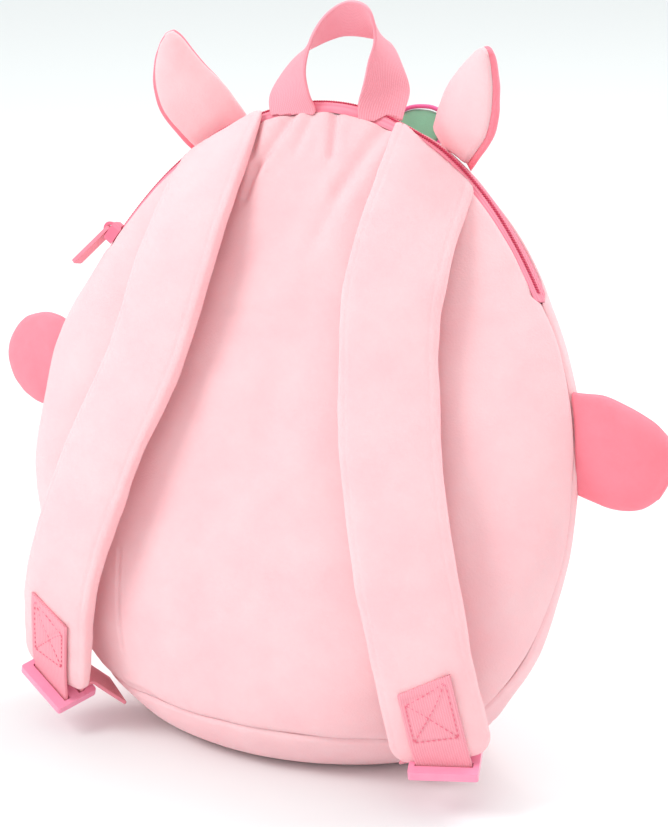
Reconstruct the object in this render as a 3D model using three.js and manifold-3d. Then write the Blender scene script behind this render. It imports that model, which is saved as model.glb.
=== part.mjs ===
// A kids' plush backpack, egg shaped, that stands on its base with its back panel facing -Y.
// Millimetres, +Z up, +X towards the right shoulder strap. The origin is the middle of the base.
import * as THREE from "three";
import { mergeVertices } from "three/addons/utils/BufferGeometryUtils.js";
import Module from "manifold-3d";

// Driving dimensions of the bag
const BODY_WIDTH = 273;
const BODY_HEIGHT = 293;
const BODY_DEPTH = 122;
const CLOTH = 2.5;
const GAP = 0.3;
const BASE_BAND = 23;
const SEAM_TOP_Y = 31;
const SEAM_LEAN_DEG = 13;

// Zip over the top of the bag
const ZIP_DROP = 77;
const ZIP_BACK_TAPE = 3.2;
const ZIP_FRONT_TAPE = 8;
const TAPE = 1.3;
const TEETH_WIDTH = 5;
const TEETH_HEIGHT = 1.4;
const SLIDER_LENGTH = 10;
const SLIDER_WIDTH = 8;
const SLIDER_HEIGHT = 3;
const BRIDGE_WIDTH = 2.4;
const BRIDGE_WIRE = 1.5;
const PULL_AXIS_ROOM = 1.8;
const PULL_AXIS_LIFT = 1.4;
const PULL_BAR = 1.8;
const PULL_LENGTH = 25;
const PULL_WIDTH = 7;
const PULL_HOLE = 3.4;
const PULL_TILT = 12;

// Webbing, straps and buckles
const WEBBING_WIDTH = 25;
const WEBBING = 1.6;
const STRAP_WIDTH = 46;
const STRAP_THICKNESS = 10;
const STRAP_CORNER = 9;
const STRAP_SQUARE = 2.8;
const PATCH_SHARE = 0.092;
const PATCH_SLANT = 7;
const PATCH_LIFT = 0.7;
const HANDLE_SPAN = 44;
const HANDLE_RISE = 54;
const HANDLE_SETBACK = 5.5;
const HANDLE_SINK = 7;
const BUCKLE_BAR = 5;
const BUCKLE_RAIL = 2.6;
const BUCKLE_SLOT = 3.4;
const BUCKLE_THICKNESS = 4;
const HALFWAY_TURN = 0.5;

// Stuffed trims
const EAR_LENGTH = 62;
const EAR_WIDTH = 36;
const EAR_THICKNESS = 12;
const EAR_SEAM = -0.03;
const EAR_SEAM_TURN = 6;
const ARM_REACH = 46;
const ARM_HEIGHT = 46;
const ARM_THICKNESS = 20;
const CREST_LENGTH = 32;
const CREST_WIDTH = 20;
const CREST_THICKNESS = 5;
const CREST_RIM = 2.2;

// Gathers of the back panel below the top seam; low and high are shares of BODY_HEIGHT
const GATHER_DEPTH = 1.6;
const GATHER_PITCH = 32;
const GATHER_REACH = 48;
const GATHER_LOW = 0.8;
const GATHER_HIGH = 0.98;

// Fineness of the meshes
const BODY_SIDES = 36;
const BODY_LEVELS = 20;
const ROUND_SIDES = 16;
const STRAP_STATIONS = 20;
const HANDLE_STATIONS = 26;
const LOWER_STATIONS = 4;
const PATCH_STEPS = 3;
const SEARCH_STEPS = 40;
const SMALL_SHARE = 0.01;
const MERGE_DISTANCE = 1e-4;
const CORNER_STEPS = 4;
const CORNER_SWEEP = 0.9;

// Sections of the bag from base to crown. height is a share of BODY_HEIGHT, half_width of half of
// BODY_WIDTH, and back, ridge and front are shares of BODY_DEPTH along Y. square is the power of the
// back's outline: 2 is an ellipse, and more is squarer.
const BODY_SECTIONS = [
  { height: 0.0, half_width: 0.5, back: -0.31, ridge: 0.02, front: 0.29, square: 1.9 },
  { height: 0.012, half_width: 0.57, back: -0.41, ridge: 0.0, front: 0.35, square: 1.9 },
  { height: 0.04, half_width: 0.655, back: -0.48, ridge: -0.03, front: 0.41, square: 1.9 },
  { height: 0.09, half_width: 0.76, back: -0.53, ridge: -0.06, front: 0.47, square: 1.95 },
  { height: 0.2, half_width: 0.905, back: -0.54, ridge: -0.1, front: 0.54, square: 2.1 },
  { height: 0.35, half_width: 0.99, back: -0.46, ridge: -0.1, front: 0.58, square: 2.3 },
  { height: 0.47, half_width: 1.0, back: -0.36, ridge: -0.05, front: 0.59, square: 2.3 },
  { height: 0.6, half_width: 0.965, back: -0.24, ridge: 0.03, front: 0.57, square: 2.3 },
  { height: 0.74, half_width: 0.825, back: -0.08, ridge: 0.13, front: 0.52, square: 2.2 },
  { height: 0.86, half_width: 0.635, back: 0.06, ridge: 0.19, front: 0.45, square: 2.1 },
  { height: 0.94, half_width: 0.43, back: 0.16, ridge: 0.23, front: 0.38, square: 2.0 },
  { height: 0.985, half_width: 0.21, back: 0.22, ridge: 0.25, front: 0.32, square: 2.0 },
];
const CROWN_DEPTH = 0.254;
const FRONT_SQUARE = 1.88;

// Middle line of the right shoulder strap's outer face, from its top end to its lower end. across is
// a share of half of BODY_WIDTH, depth of BODY_DEPTH and height of BODY_HEIGHT. yaw turns the
// strap's face outwards and tilt lowers its outer edge, in degrees. wide and thick are shares of
// STRAP_WIDTH and STRAP_THICKNESS.
const STRAP_LINE = [
  { across: 0.395, depth: 0.25, height: 0.962, yaw: 8, tilt: 25, wide: 0.93, thick: 0.5 },
  { across: 0.405, depth: 0.1, height: 0.907, yaw: 10, tilt: 15, wide: 0.97, thick: 0.8 },
  { across: 0.41, depth: -0.09, height: 0.825, yaw: 12, tilt: 6, wide: 1, thick: 1 },
  { across: 0.42, depth: -0.225, height: 0.735, yaw: 12, tilt: 0, wide: 1, thick: 1 },
  { across: 0.465, depth: -0.335, height: 0.615, yaw: 12, tilt: 0, wide: 1, thick: 1 },
  { across: 0.535, depth: -0.455, height: 0.505, yaw: 12, tilt: 0, wide: 1, thick: 1 },
  { across: 0.595, depth: -0.52, height: 0.41, yaw: 13, tilt: 0, wide: 1, thick: 1 },
  { across: 0.65, depth: -0.555, height: 0.325, yaw: 14, tilt: 0, wide: 1, thick: 1 },
  { across: 0.695, depth: -0.56, height: 0.235, yaw: 16, tilt: 0, wide: 1, thick: 1 },
  { across: 0.737, depth: -0.51, height: 0.117, yaw: 18, tilt: -11, wide: 1, thick: 0.85 },
];

// The carry handle's two edges from its left foot to its right foot: the near edge lies towards the
// wearer. x is a share of HANDLE_SPAN, y of WEBBING_WIDTH and z of HANDLE_RISE, from the top seam.
const HANDLE_EDGES = [
  { near_x: -0.17, near_y: 0.05, near_z: -0.14, far_x: -0.66, far_y: 0.05, far_z: -0.22 },
  { near_x: -0.16, near_y: 0.04, near_z: 0.04, far_x: -0.69, far_y: 0.05, far_z: -0.06 },
  { near_x: -0.2, near_y: -0.07, near_z: 0.19, far_x: -0.75, far_y: 0.2, far_z: 0.12 },
  { near_x: -0.23, near_y: -0.14, near_z: 0.37, far_x: -0.68, far_y: 0.47, far_z: 0.3 },
  { near_x: -0.18, near_y: -0.2, near_z: 0.55, far_x: -0.52, far_y: 0.6, far_z: 0.46 },
  { near_x: -0.07, near_y: -0.26, near_z: 0.74, far_x: -0.3, far_y: 0.6, far_z: 0.56 },
  { near_x: 0.11, near_y: -0.29, near_z: 0.91, far_x: -0.08, far_y: 0.46, far_z: 0.63 },
  { near_x: 0.34, near_y: -0.3, near_z: 1, far_x: 0.12, far_y: 0.35, far_z: 0.67 },
  { near_x: 0.55, near_y: -0.29, near_z: 0.94, far_x: 0.34, far_y: 0.45, far_z: 0.66 },
  { near_x: 0.6, near_y: -0.23, near_z: 0.7, far_x: 0.49, far_y: 0.74, far_z: 0.6 },
  { near_x: 0.51, near_y: -0.17, near_z: 0.5, far_x: 0.63, far_y: 0.79, far_z: 0.4 },
  { near_x: 0.43, near_y: -0.1, near_z: 0.3, far_x: 0.71, far_y: 0.78, far_z: 0.22 },
  { near_x: 0.36, near_y: -0.06, near_z: 0.14, far_x: 0.76, far_y: 0.4, far_z: 0.06 },
  { near_x: 0.34, near_y: 0.03, near_z: 0.0, far_x: 0.77, far_y: 0.08, far_z: -0.13 },
  { near_x: 0.34, near_y: 0.05, near_z: -0.16, far_x: 0.76, far_y: 0.05, far_z: -0.28 },
];

// Outline of an ear from its root to its tip: along is a share of EAR_LENGTH, wide of EAR_WIDTH,
// thick of EAR_THICKNESS, and bow shifts the middle outwards by a share of EAR_WIDTH, times the ear's
// bend. splay leans an ear outwards, yaw turns it about its length and nod tips it back, in degrees.
const EAR_SECTIONS = [
  { along: 0.0, wide: 0.86, thick: 0.6, bow: -0.06 },
  { along: 0.18, wide: 0.96, thick: 0.75, bow: 0.0 },
  { along: 0.42, wide: 1.0, thick: 1, bow: 0.1 },
  { along: 0.62, wide: 0.85, thick: 1, bow: 0.14 },
  { along: 0.8, wide: 0.61, thick: 0.9, bow: 0.12 },
  { along: 0.93, wide: 0.36, thick: 0.7, bow: 0.06 },
  { along: 0.99, wide: 0.17, thick: 0.4, bow: 0.02 },
];
const EARS = [
  { name: "left", side: -1, across: 0.45, depth: 0.32, height: 0.9, splay: 22, yaw: 12, nod: 11, bend: 1 },
  { name: "right", side: 1, across: 0.413, depth: 0.32, height: 0.935, splay: 35, yaw: 24, nod: 11, bend: 0.6 },
];

// Outline of an arm from its root to its tip, as shares of ARM_REACH, ARM_HEIGHT and ARM_THICKNESS.
const ARM_SECTIONS = [
  { along: -0.2, wide: 0.8, thick: 0.6 },
  { along: 0.1, wide: 0.98, thick: 0.85 },
  { along: 0.4, wide: 1.0, thick: 1 },
  { along: 0.7, wide: 0.9, thick: 1 },
  { along: 0.88, wide: 0.7, thick: 0.85 },
  { along: 0.98, wide: 0.38, thick: 0.5 },
];
const ARMS = [
  { name: "left", side: -1, yaw: 22, droop: 6 },
  { name: "right", side: 1, yaw: 14, droop: 24 },
];
const ARM_ROOT = { across: 0.965, depth: 0.05, height: 0.543 };

// Outline of the crest leaf from its root to its tip, as shares of its length, width and thickness.
const CREST_SECTIONS = [
  { along: 0.0, wide: 0.6, thick: 0.8 },
  { along: 0.3, wide: 0.95, thick: 1 },
  { along: 0.6, wide: 1, thick: 1 },
  { along: 0.85, wide: 0.65, thick: 0.9 },
  { along: 0.98, wide: 0.2, thick: 0.5 },
];
const CREST_PLACE = { across: 0.12, depth: 0.39, height: 0.92, splay: 60, nod: -18 };

// Where the lower webbing is sewn in on the right, and how its width lies there
const BOTTOM_CORNER = { across: 0.6, depth: -0.29, height: 0.045, turn: 38, rise: 0.15 };

// Buckles at the strap ends: roll lifts a buckle's outer end and tip lays it back, in degrees, and
// drop is how far below the strap's end its front slot lies.
const STRAP_SIDES = [
  { name: "left", side: -1, roll: 16, tip: 84, drop: 4 },
  { name: "right", side: 1, roll: -10, tip: 84, drop: 3.5 },
];

const COLOURS = {
  plush: 0xfdd3d8,
  deepPlush: 0xff8c9e,
  webbing: 0xff9aa8,
  plastic: 0xff82a5,
  teeth: 0xe0607f,
  green: 0x96d7b4,
  magenta: 0xe85f92,
};

const wasm = await Module();
wasm.setup();

const radians = THREE.MathUtils.degToRad;
const FAR = 400;
const mirrorX = new THREE.Matrix4().makeScale(-1, 1, 1);

// A closed solid from a geometry.
function solid(geometry) {
  const bare = geometry.clone();
  bare.deleteAttribute("normal");
  bare.deleteAttribute("uv");
  const merged = mergeVertices(bare, MERGE_DISTANCE);
  return new wasm.Manifold(
    new wasm.Mesh({
      numProp: 3,
      vertProperties: merged.attributes.position.array,
      triVerts: new Uint32Array(merged.index.array),
    }),
  );
}

// A box between two corners.
function boxGeometry(low, high) {
  const size = high.map((value, axis) => value - low[axis]);
  const middle = high.map((value, axis) => (value + low[axis]) / 2);
  return new THREE.BoxGeometry(...size).translate(...middle);
}

// A closed mesh through rings of equal point counts, each end closed by a fan to a point.
function loft(rings, startPoint, endPoint, thin = false) {
  const sides = rings[0].length;
  const points = [startPoint, ...rings.flat(), endPoint];
  const last = points.length - 1;
  const faces = [];
  const at = (ring, side) => 1 + ring * sides + (side % sides);
  for (let side = 0; side < sides; side += 1) {
    faces.push(0, at(0, side + 1), at(0, side));
    for (let ring = 0; ring + 1 < rings.length; ring += 1) {
      const near = [at(ring, side), at(ring, side + 1)];
      const next = [at(ring + 1, side), at(ring + 1, side + 1)];
      if (thin && side >= sides / 2) faces.push(near[0], near[1], next[0], near[1], next[1], next[0]);
      else faces.push(near[0], near[1], next[1], near[0], next[1], next[0]);
    }
    faces.push(last, at(rings.length - 1, side), at(rings.length - 1, side + 1));
  }
  const geometry = new THREE.BufferGeometry().setFromPoints(points);
  geometry.setIndex(faces);
  geometry.computeVertexNormals();
  return geometry;
}

// The middle of a ring of points.
function ringMiddle(ring) {
  const sum = new THREE.Vector3();
  for (const point of ring) sum.add(point);
  return sum.divideScalar(ring.length);
}

// A smooth value of one table column at a share from 0 to 1 of the way down the rows.
function column(rows, name, share) {
  const place = share * (rows.length - 1);
  const row = Math.min(Math.floor(place), rows.length - 2);
  const t = place - row;
  const value = (index) => rows[THREE.MathUtils.clamp(index, 0, rows.length - 1)][name];
  const [a, b, c, d] = [value(row - 1), value(row), value(row + 1), value(row + 2)];
  const bend = (2 * a - 5 * b + 4 * c - d) * t * t + (3 * b - 3 * c + d - a) * t * t * t;
  return (2 * b + (c - a) * t + bend) / 2;
}

// A signed power, which turns a circle's sine or cosine into a rounder or squarer outline.
function signedPower(value, power) {
  return Math.sign(value) * Math.abs(value) ** power;
}

// The bag's section at a share of the way up its rows, in millimetres.
function bodySection(share) {
  return {
    halfWidth: (column(BODY_SECTIONS, "half_width", share) * BODY_WIDTH) / 2,
    ridge: column(BODY_SECTIONS, "ridge", share) * BODY_DEPTH,
    back: column(BODY_SECTIONS, "back", share) * BODY_DEPTH,
    front: column(BODY_SECTIONS, "front", share) * BODY_DEPTH,
    height: Math.max(0, column(BODY_SECTIONS, "height", share)) * BODY_HEIGHT,
    square: column(BODY_SECTIONS, "square", share),
  };
}

// How far the back panel's gathers push the skin in or out at a place across and up the bag.
function gather(across, height) {
  const above = (height / BODY_HEIGHT - GATHER_LOW) / (GATHER_HIGH - GATHER_LOW);
  const rise = Math.sin(Math.PI * THREE.MathUtils.clamp(above, 0, 1));
  const reach = Math.max(0, 1 - (across / GATHER_REACH) ** 2);
  return GATHER_DEPTH * rise * reach * Math.cos((2 * Math.PI * across) / GATHER_PITCH);
}

// One horizontal ring of the bag, counterclockwise from above, starting at the right ridge.
function bodyRing(share) {
  const { halfWidth, ridge, back, front, height, square } = bodySection(share);
  const ring = [];
  for (let side = 0; side < BODY_SIDES; side += 1) {
    const angle = (side / BODY_SIDES) * 2 * Math.PI;
    const behind = Math.sin(angle) < 0;
    const power = 2 / (behind ? square : FRONT_SQUARE);
    const reach = behind ? ridge - back : front - ridge;
    const x = halfWidth * signedPower(Math.cos(angle), power);
    const y = ridge + reach * signedPower(Math.sin(angle), power);
    ring.push(new THREE.Vector3(x, behind ? y + gather(x, height) : y, height));
  }
  return ring;
}

// The point on the right of the bag's skin that lies on the side seam, at a length from its top.
function seamPoint(drop) {
  const place = new THREE.Vector3(0, 0, -drop).applyMatrix4(seamFrame);
  let [low, high] = [0, 1];
  for (let step = 0; step < SEARCH_STEPS; step += 1) {
    const middle = (low + high) / 2;
    if (bodySection(middle).height < place.z) low = middle;
    else high = middle;
  }
  const { halfWidth, ridge, back, front, square } = bodySection(low);
  const behind = place.y < ridge;
  const power = behind ? square : FRONT_SQUARE;
  const reach = Math.abs(place.y - ridge) / (behind ? ridge - back : front - ridge);
  return place.setX(halfWidth * (1 - reach ** power) ** (1 / power));
}

// The bag's outer skin moved outwards by a distance, or inwards where it is negative.
function bodySkin(offset) {
  const rings = [];
  for (let level = 0; level <= BODY_LEVELS; level += 1) rings.push(bodyRing(level / BODY_LEVELS));
  const baseCentre = new THREE.Vector3(0, 0, 0);
  const crown = new THREE.Vector3(0, CROWN_DEPTH * BODY_DEPTH, BODY_HEIGHT);
  const geometry = loft(rings, baseCentre, crown);
  const position = geometry.attributes.position;
  const normal = geometry.attributes.normal;
  const point = new THREE.Vector3();
  const outwards = new THREE.Vector3();
  for (let index = 0; index < position.count; index += 1) {
    point.fromBufferAttribute(position, index);
    outwards.fromBufferAttribute(normal, index);
    point.addScaledVector(outwards, offset);
    position.setXYZ(index, point.x, point.y, point.z);
  }
  return solid(geometry);
}

const clearBody = bodySkin(GAP);
const bagShell = bodySkin(0).subtract(bodySkin(-CLOTH));

// The frame of the side seam: its Z runs up the seam, its Y forwards across it.
const seamFrame = new THREE.Matrix4()
  .makeTranslation(0, SEAM_TOP_Y, BODY_HEIGHT)
  .multiply(new THREE.Matrix4().makeRotationX(-radians(SEAM_LEAN_DEG)));

// A box in the seam's frame: from back to front across the seam, and from low to high along it.
function seamBox(back, front, low, high = FAR) {
  return solid(boxGeometry([-FAR, back, low], [FAR, front, high]).applyMatrix4(seamFrame));
}

const bandBox = solid(boxGeometry([-FAR, -FAR, -FAR], [FAR, FAR, BASE_BAND]));
const aboveBand = solid(boxGeometry([-FAR, -FAR, BASE_BAND + GAP], [FAR, FAR, FAR]));
const behindSeam = seamBox(-FAR, -GAP / 2, -FAR);
const beforeSeam = seamBox(GAP / 2, FAR, -FAR);
const zipSlot = seamBox(-ZIP_BACK_TAPE, ZIP_FRONT_TAPE, -ZIP_DROP);
const tapeRoom = seamBox(GAP - ZIP_BACK_TAPE, ZIP_FRONT_TAPE - GAP, GAP - ZIP_DROP);
const teethRoom = seamBox(-TEETH_WIDTH / 2, TEETH_WIDTH / 2, SLIDER_LENGTH / 2 - ZIP_DROP);

// The frame of the zip slider on the left: X across the zip, Y up along it and Z out of the bag.
function sliderFrame() {
  const drop = ZIP_DROP - SLIDER_LENGTH / 2 - GAP;
  const upwards = seamPoint(drop - CLOTH).sub(seamPoint(drop + CLOTH)).normalize();
  const across = new THREE.Vector3(0, 1, 0).transformDirection(seamFrame);
  const outwards = new THREE.Vector3().crossVectors(across, upwards);
  const frame = new THREE.Matrix4().makeBasis(across, upwards, outwards);
  return frame.setPosition(seamPoint(drop)).premultiply(mirrorX);
}

// A box in the slider's frame
function sliderBox(low, high) {
  return carried(boxGeometry(low, high), sliderFrame());
}

const group = new THREE.Group();

// Adds one named piece to the backpack.
function addPiece(name, body, colour, roughness = 0.9) {
  const mesh = body.getMesh();
  const geometry = new THREE.BufferGeometry();
  geometry.setAttribute("position", new THREE.BufferAttribute(mesh.vertProperties, 3));
  geometry.setIndex(new THREE.BufferAttribute(mesh.triVerts, 1));
  geometry.computeVertexNormals();
  const material = new THREE.MeshStandardMaterial({ color: colour, roughness, metalness: 0 });
  const piece = new THREE.Mesh(geometry, material);
  piece.name = name;
  group.add(piece);
  return piece;
}

// The bag: back panel, domed front, base band and the zip's tape and teeth
function addBag() {
  const walls = bagShell.intersect(aboveBand).subtract(zipSlot);
  addPiece("back_panel", walls.intersect(behindSeam), COLOURS.plush);
  addPiece("front_shell", walls.intersect(beforeSeam), COLOURS.plush);
  addPiece("base_gusset", bagShell.intersect(bandBox), COLOURS.plush);
  const tape = bodySkin(-GAP).subtract(bodySkin(-GAP - TAPE)).intersect(tapeRoom);
  addPiece("zipper_tape", tape, COLOURS.webbing, 0.8);
  const sliderRoom = sliderBox(
    [-FAR, -SLIDER_LENGTH / 2 - GAP, -SLIDER_LENGTH],
    [FAR, SLIDER_LENGTH / 2 + GAP, SLIDER_LENGTH],
  );
  const teeth = bodySkin(TEETH_HEIGHT).subtract(bodySkin(0)).intersect(teethRoom).subtract(sliderRoom);
  addPiece("zipper_teeth", teeth, COLOURS.teeth, 0.4);
}

// Carries a geometry by a matrix, and turns its faces back where the matrix mirrors it.
function carried(geometry, matrix) {
  const indexed = geometry.index ? geometry : mergeVertices(geometry);
  indexed.applyMatrix4(matrix);
  if (matrix.determinant() < 0) {
    const index = indexed.index.array;
    for (let face = 0; face < index.length; face += 3) {
      [index[face + 1], index[face + 2]] = [index[face + 2], index[face + 1]];
    }
  }
  return solid(indexed);
}

// The matrix of a piece on one side: turned by angles about X, Y and Z, moved, and mirrored on the left.
function sideMatrix(side, place, turns) {
  const euler = new THREE.Euler(radians(turns.x), radians(turns.y), radians(turns.z), "ZYX");
  const matrix = new THREE.Matrix4().makeRotationFromEuler(euler).setPosition(place);
  return side < 0 ? matrix.premultiply(mirrorX) : matrix;
}

// A point of the bag given as shares of half its width, its depth and its height.
function bagPoint({ across, depth, height }) {
  return new THREE.Vector3((across * BODY_WIDTH) / 2, depth * BODY_DEPTH, height * BODY_HEIGHT);
}

// A stuffed flap along Z from a table of sections, its width along X and its thickness along Y.
function flap(rows, length, width, thickness, grow = 0, bend = 1) {
  const levels = 2 * (rows.length - 1);
  const rings = [];
  for (let level = 0; level <= levels; level += 1) {
    const share = level / levels;
    const middle = new THREE.Vector3(
      "bow" in rows[0] ? column(rows, "bow", share) * width * bend : 0,
      0,
      column(rows, "along", share) * length,
    );
    const halfWidth = (column(rows, "wide", share) * width) / 2 + grow;
    const halfThickness = (column(rows, "thick", share) * thickness) / 2 + grow;
    const ring = [];
    for (let side = 0; side < ROUND_SIDES; side += 1) {
      const angle = (side / ROUND_SIDES) * 2 * Math.PI;
      const rim = new THREE.Vector3(halfWidth * Math.cos(angle), halfThickness * Math.sin(angle), 0);
      ring.push(rim.add(middle));
    }
    rings.push(ring);
  }
  const tip = ringMiddle(rings[levels]);
  tip.z = length + grow;
  return loft(rings, ringMiddle(rings[0]), tip);
}

const teethClear = bodySkin(TEETH_HEIGHT + GAP)
  .intersect(seamBox(-TEETH_WIDTH / 2 - GAP, TEETH_WIDTH / 2 + GAP, -ZIP_DROP));
const clearBag = clearBody.add(teethClear);

// Stuffed ears, each a light back face and a dark inner face sewn together
function addEars() {
  for (const ear of EARS) {
    const matrix = sideMatrix(ear.side, bagPoint(ear), { x: ear.nod, y: ear.splay, z: -ear.yaw });
    const shape = flap(EAR_SECTIONS, EAR_LENGTH, EAR_WIDTH, EAR_THICKNESS, 0, ear.bend);
    const whole = carried(shape, matrix);
    const seated = whole.subtract(clearBag);
    const seam = EAR_SEAM * EAR_THICKNESS;
    const turned = new THREE.Matrix4().makeRotationZ(-radians(EAR_SEAM_TURN)).premultiply(matrix);
    const back = carried(boxGeometry([-FAR, -FAR, -FAR], [FAR, seam - GAP / 2, FAR]), turned);
    const front = carried(boxGeometry([-FAR, seam + GAP / 2, -FAR], [FAR, FAR, FAR]), turned);
    addPiece("ear_back_" + ear.name, seated.intersect(back), COLOURS.plush);
    addPiece("ear_front_" + ear.name, seated.intersect(front), COLOURS.deepPlush);
  }
}

// Stuffed arms sewn into the side seams
function addArms() {
  for (const arm of ARMS) {
    const turns = { x: 0, y: 90 + arm.droop, z: arm.yaw };
    const matrix = sideMatrix(arm.side, bagPoint(ARM_ROOT), turns);
    const whole = carried(flap(ARM_SECTIONS, ARM_REACH, ARM_HEIGHT, ARM_THICKNESS), matrix);
    addPiece("arm_" + arm.name, whole.subtract(clearBody), COLOURS.deepPlush);
  }
}

// The crest leaf on the front of the crown, with its rim
function addCrest() {
  const turns = { x: CREST_PLACE.nod, y: CREST_PLACE.splay, z: 0 };
  const matrix = sideMatrix(1, bagPoint(CREST_PLACE), turns);
  const leaf = flap(CREST_SECTIONS, CREST_LENGTH, CREST_WIDTH, CREST_THICKNESS);
  const room = flap(CREST_SECTIONS, CREST_LENGTH, CREST_WIDTH, 4 * CREST_THICKNESS, GAP);
  const rimThickness = CREST_THICKNESS - 2 * GAP - CREST_RIM;
  const outer = flap(CREST_SECTIONS, CREST_LENGTH, CREST_WIDTH, rimThickness, CREST_RIM);
  addPiece("crest_leaf", carried(leaf, matrix).subtract(clearBag), COLOURS.green);
  const rim = carried(outer, matrix).subtract(carried(room, matrix)).subtract(clearBag);
  addPiece("crest_rim", rim, COLOURS.magenta);
}

// One station of the right strap's middle line: a point on its outer face, with its width, its
// downward direction and its outward normal.
function strapStation(share) {
  const at = (place) => bagPoint({
    across: column(STRAP_LINE, "across", place),
    depth: column(STRAP_LINE, "depth", place),
    height: column(STRAP_LINE, "height", place),
  });
  const ahead = Math.min(share + SMALL_SHARE, 1);
  const before = Math.max(share - SMALL_SHARE, 0);
  const down = at(ahead).sub(at(before)).normalize();
  const yaw = radians(column(STRAP_LINE, "yaw", share));
  const fall = -Math.tan(radians(column(STRAP_LINE, "tilt", share)));
  const level = new THREE.Vector3(Math.cos(yaw), Math.sin(yaw), fall).normalize();
  const outward = new THREE.Vector3().crossVectors(down, level).normalize();
  const wide = new THREE.Vector3().crossVectors(outward, down).normalize();
  return { point: at(share), wide, down, outward };
}

// The padded strap as a closed solid, grown all round by a distance.
function strapSolid(matrix, grow = 0) {
  const rings = [];
  const addRing = (station, share, inset, beyond) => {
    const halfWidth = (column(STRAP_LINE, "wide", share) * STRAP_WIDTH) / 2 - inset + grow;
    const halfThick = (column(STRAP_LINE, "thick", share) * STRAP_THICKNESS) / 2 - inset / 4 + grow;
    const sink = (column(STRAP_LINE, "thick", share) * STRAP_THICKNESS) / 2;
    const middle = station.point.clone()
      .addScaledVector(station.outward, -sink)
      .addScaledVector(station.down, beyond);
    const ring = [];
    for (let side = 0; side < ROUND_SIDES; side += 1) {
      const angle = (side / ROUND_SIDES) * 2 * Math.PI;
      const across = halfWidth * signedPower(Math.cos(angle), 2 / STRAP_SQUARE);
      const out = halfThick * signedPower(Math.sin(angle), 2 / STRAP_SQUARE);
      ring.push(
        middle.clone().addScaledVector(station.wide, across).addScaledVector(station.outward, out),
      );
    }
    rings.push(ring);
  };
  for (let index = 0; index <= STRAP_STATIONS; index += 1) {
    const share = index / STRAP_STATIONS;
    addRing(strapStation(share), share, 0, 0);
  }
  const end = strapStation(1);
  for (let step = 1; step <= CORNER_STEPS; step += 1) {
    const angle = (step / CORNER_STEPS) * (Math.PI / 2) * CORNER_SWEEP;
    addRing(end, 1, STRAP_CORNER * (1 - Math.cos(angle)), STRAP_CORNER * Math.sin(angle) + grow);
  }
  return carried(loft(rings, ringMiddle(rings[0]), ringMiddle(rings[rings.length - 1])), matrix);
}

// A flat strip through stations, each with a point, a width direction, a normal and a width.
function strip(stations, thickness, grow = 0) {
  const rings = stations.map(({ point, wide, outward, width }) => {
    const corners = [[1, -1], [1, 1], [-1, 1], [-1, -1]];
    return corners.map(([across, out]) =>
      point.clone()
        .addScaledVector(wide, across * (width / 2 + grow))
        .addScaledVector(outward, out * (thickness / 2 + grow)));
  });
  return loft(rings, ringMiddle(rings[0]), ringMiddle(rings[rings.length - 1]), true);
}

// The carry handle's stations from its left foot to its right foot.
function handleStations() {
  const foot = new THREE.Vector3(0, SEAM_TOP_Y - HANDLE_SETBACK, BODY_HEIGHT - HANDLE_SINK);
  const edge = (name, share) => new THREE.Vector3(
    column(HANDLE_EDGES, name + "_x", share) * HANDLE_SPAN,
    column(HANDLE_EDGES, name + "_y", share) * WEBBING_WIDTH,
    column(HANDLE_EDGES, name + "_z", share) * HANDLE_RISE,
  ).add(foot);
  const stations = [];
  for (let index = 0; index <= HANDLE_STATIONS; index += 1) {
    const share = index / HANDLE_STATIONS;
    const near = edge("near", share);
    const far = edge("far", share);
    const ahead = Math.min(share + SMALL_SHARE, 1);
    const before = Math.max(share - SMALL_SHARE, 0);
    const along = edge("near", ahead).add(edge("far", ahead))
      .sub(edge("near", before)).sub(edge("far", before)).normalize();
    const wide = new THREE.Vector3().subVectors(far, near);
    const width = wide.length();
    wide.normalize();
    const outward = new THREE.Vector3().crossVectors(along, wide).normalize();
    const point = near.clone().add(far).multiplyScalar(0.5);
    stations.push({ point, wide, outward, width });
  }
  return stations;
}

const handleSolid = solid(strip(handleStations(), WEBBING)).subtract(clearBag);
const handleClear = solid(strip(handleStations(), WEBBING, GAP));

// The frame of the right strap's lower end: X along its width, Y up it and Z outwards.
function strapEndFrame() {
  const { point, wide, down, outward } = strapStation(1);
  return new THREE.Matrix4().makeBasis(wide, down.negate(), outward).setPosition(point);
}

const SLOT_HALF_WIDTH = WEBBING_WIDTH / 2 + GAP;

// The buckle's frame: X along its bars, Y back over its slots and Z up out of it. Its origin is in
// the front slot, below the strap's end; tip lays it back and roll turns it in the strap's plane.
function buckleFrame({ roll, tip, drop }) {
  return strapEndFrame()
    .multiply(new THREE.Matrix4().makeTranslation(0, -STRAP_CORNER - drop, 0))
    .multiply(new THREE.Matrix4().makeRotationZ(radians(roll)))
    .multiply(new THREE.Matrix4().makeRotationX(-radians(tip)));
}

// A closed outline through corner points, each rounded by a radius.
function roundedPath(path, corners, radius) {
  corners.forEach((corner, index) => {
    const before = corners[(index + corners.length - 1) % corners.length];
    const after = corners[(index + 1) % corners.length];
    const enter = corner.clone().sub(before).setLength(radius).negate().add(corner);
    const leave = corner.clone().sub(after).setLength(radius).negate().add(corner);
    if (index === 0) path.moveTo(enter.x, enter.y);
    else path.lineTo(enter.x, enter.y);
    path.quadraticCurveTo(corner.x, corner.y, leave.x, leave.y);
  });
  path.closePath();
  return path;
}

// The corners of an upright rectangle about the Y axis.
function rectangle(halfWidth, top, bottom) {
  const corners = [[-halfWidth, top], [-halfWidth, bottom], [halfWidth, bottom], [halfWidth, top]];
  return corners.map(([x, y]) => new THREE.Vector2(x, y));
}

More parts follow.
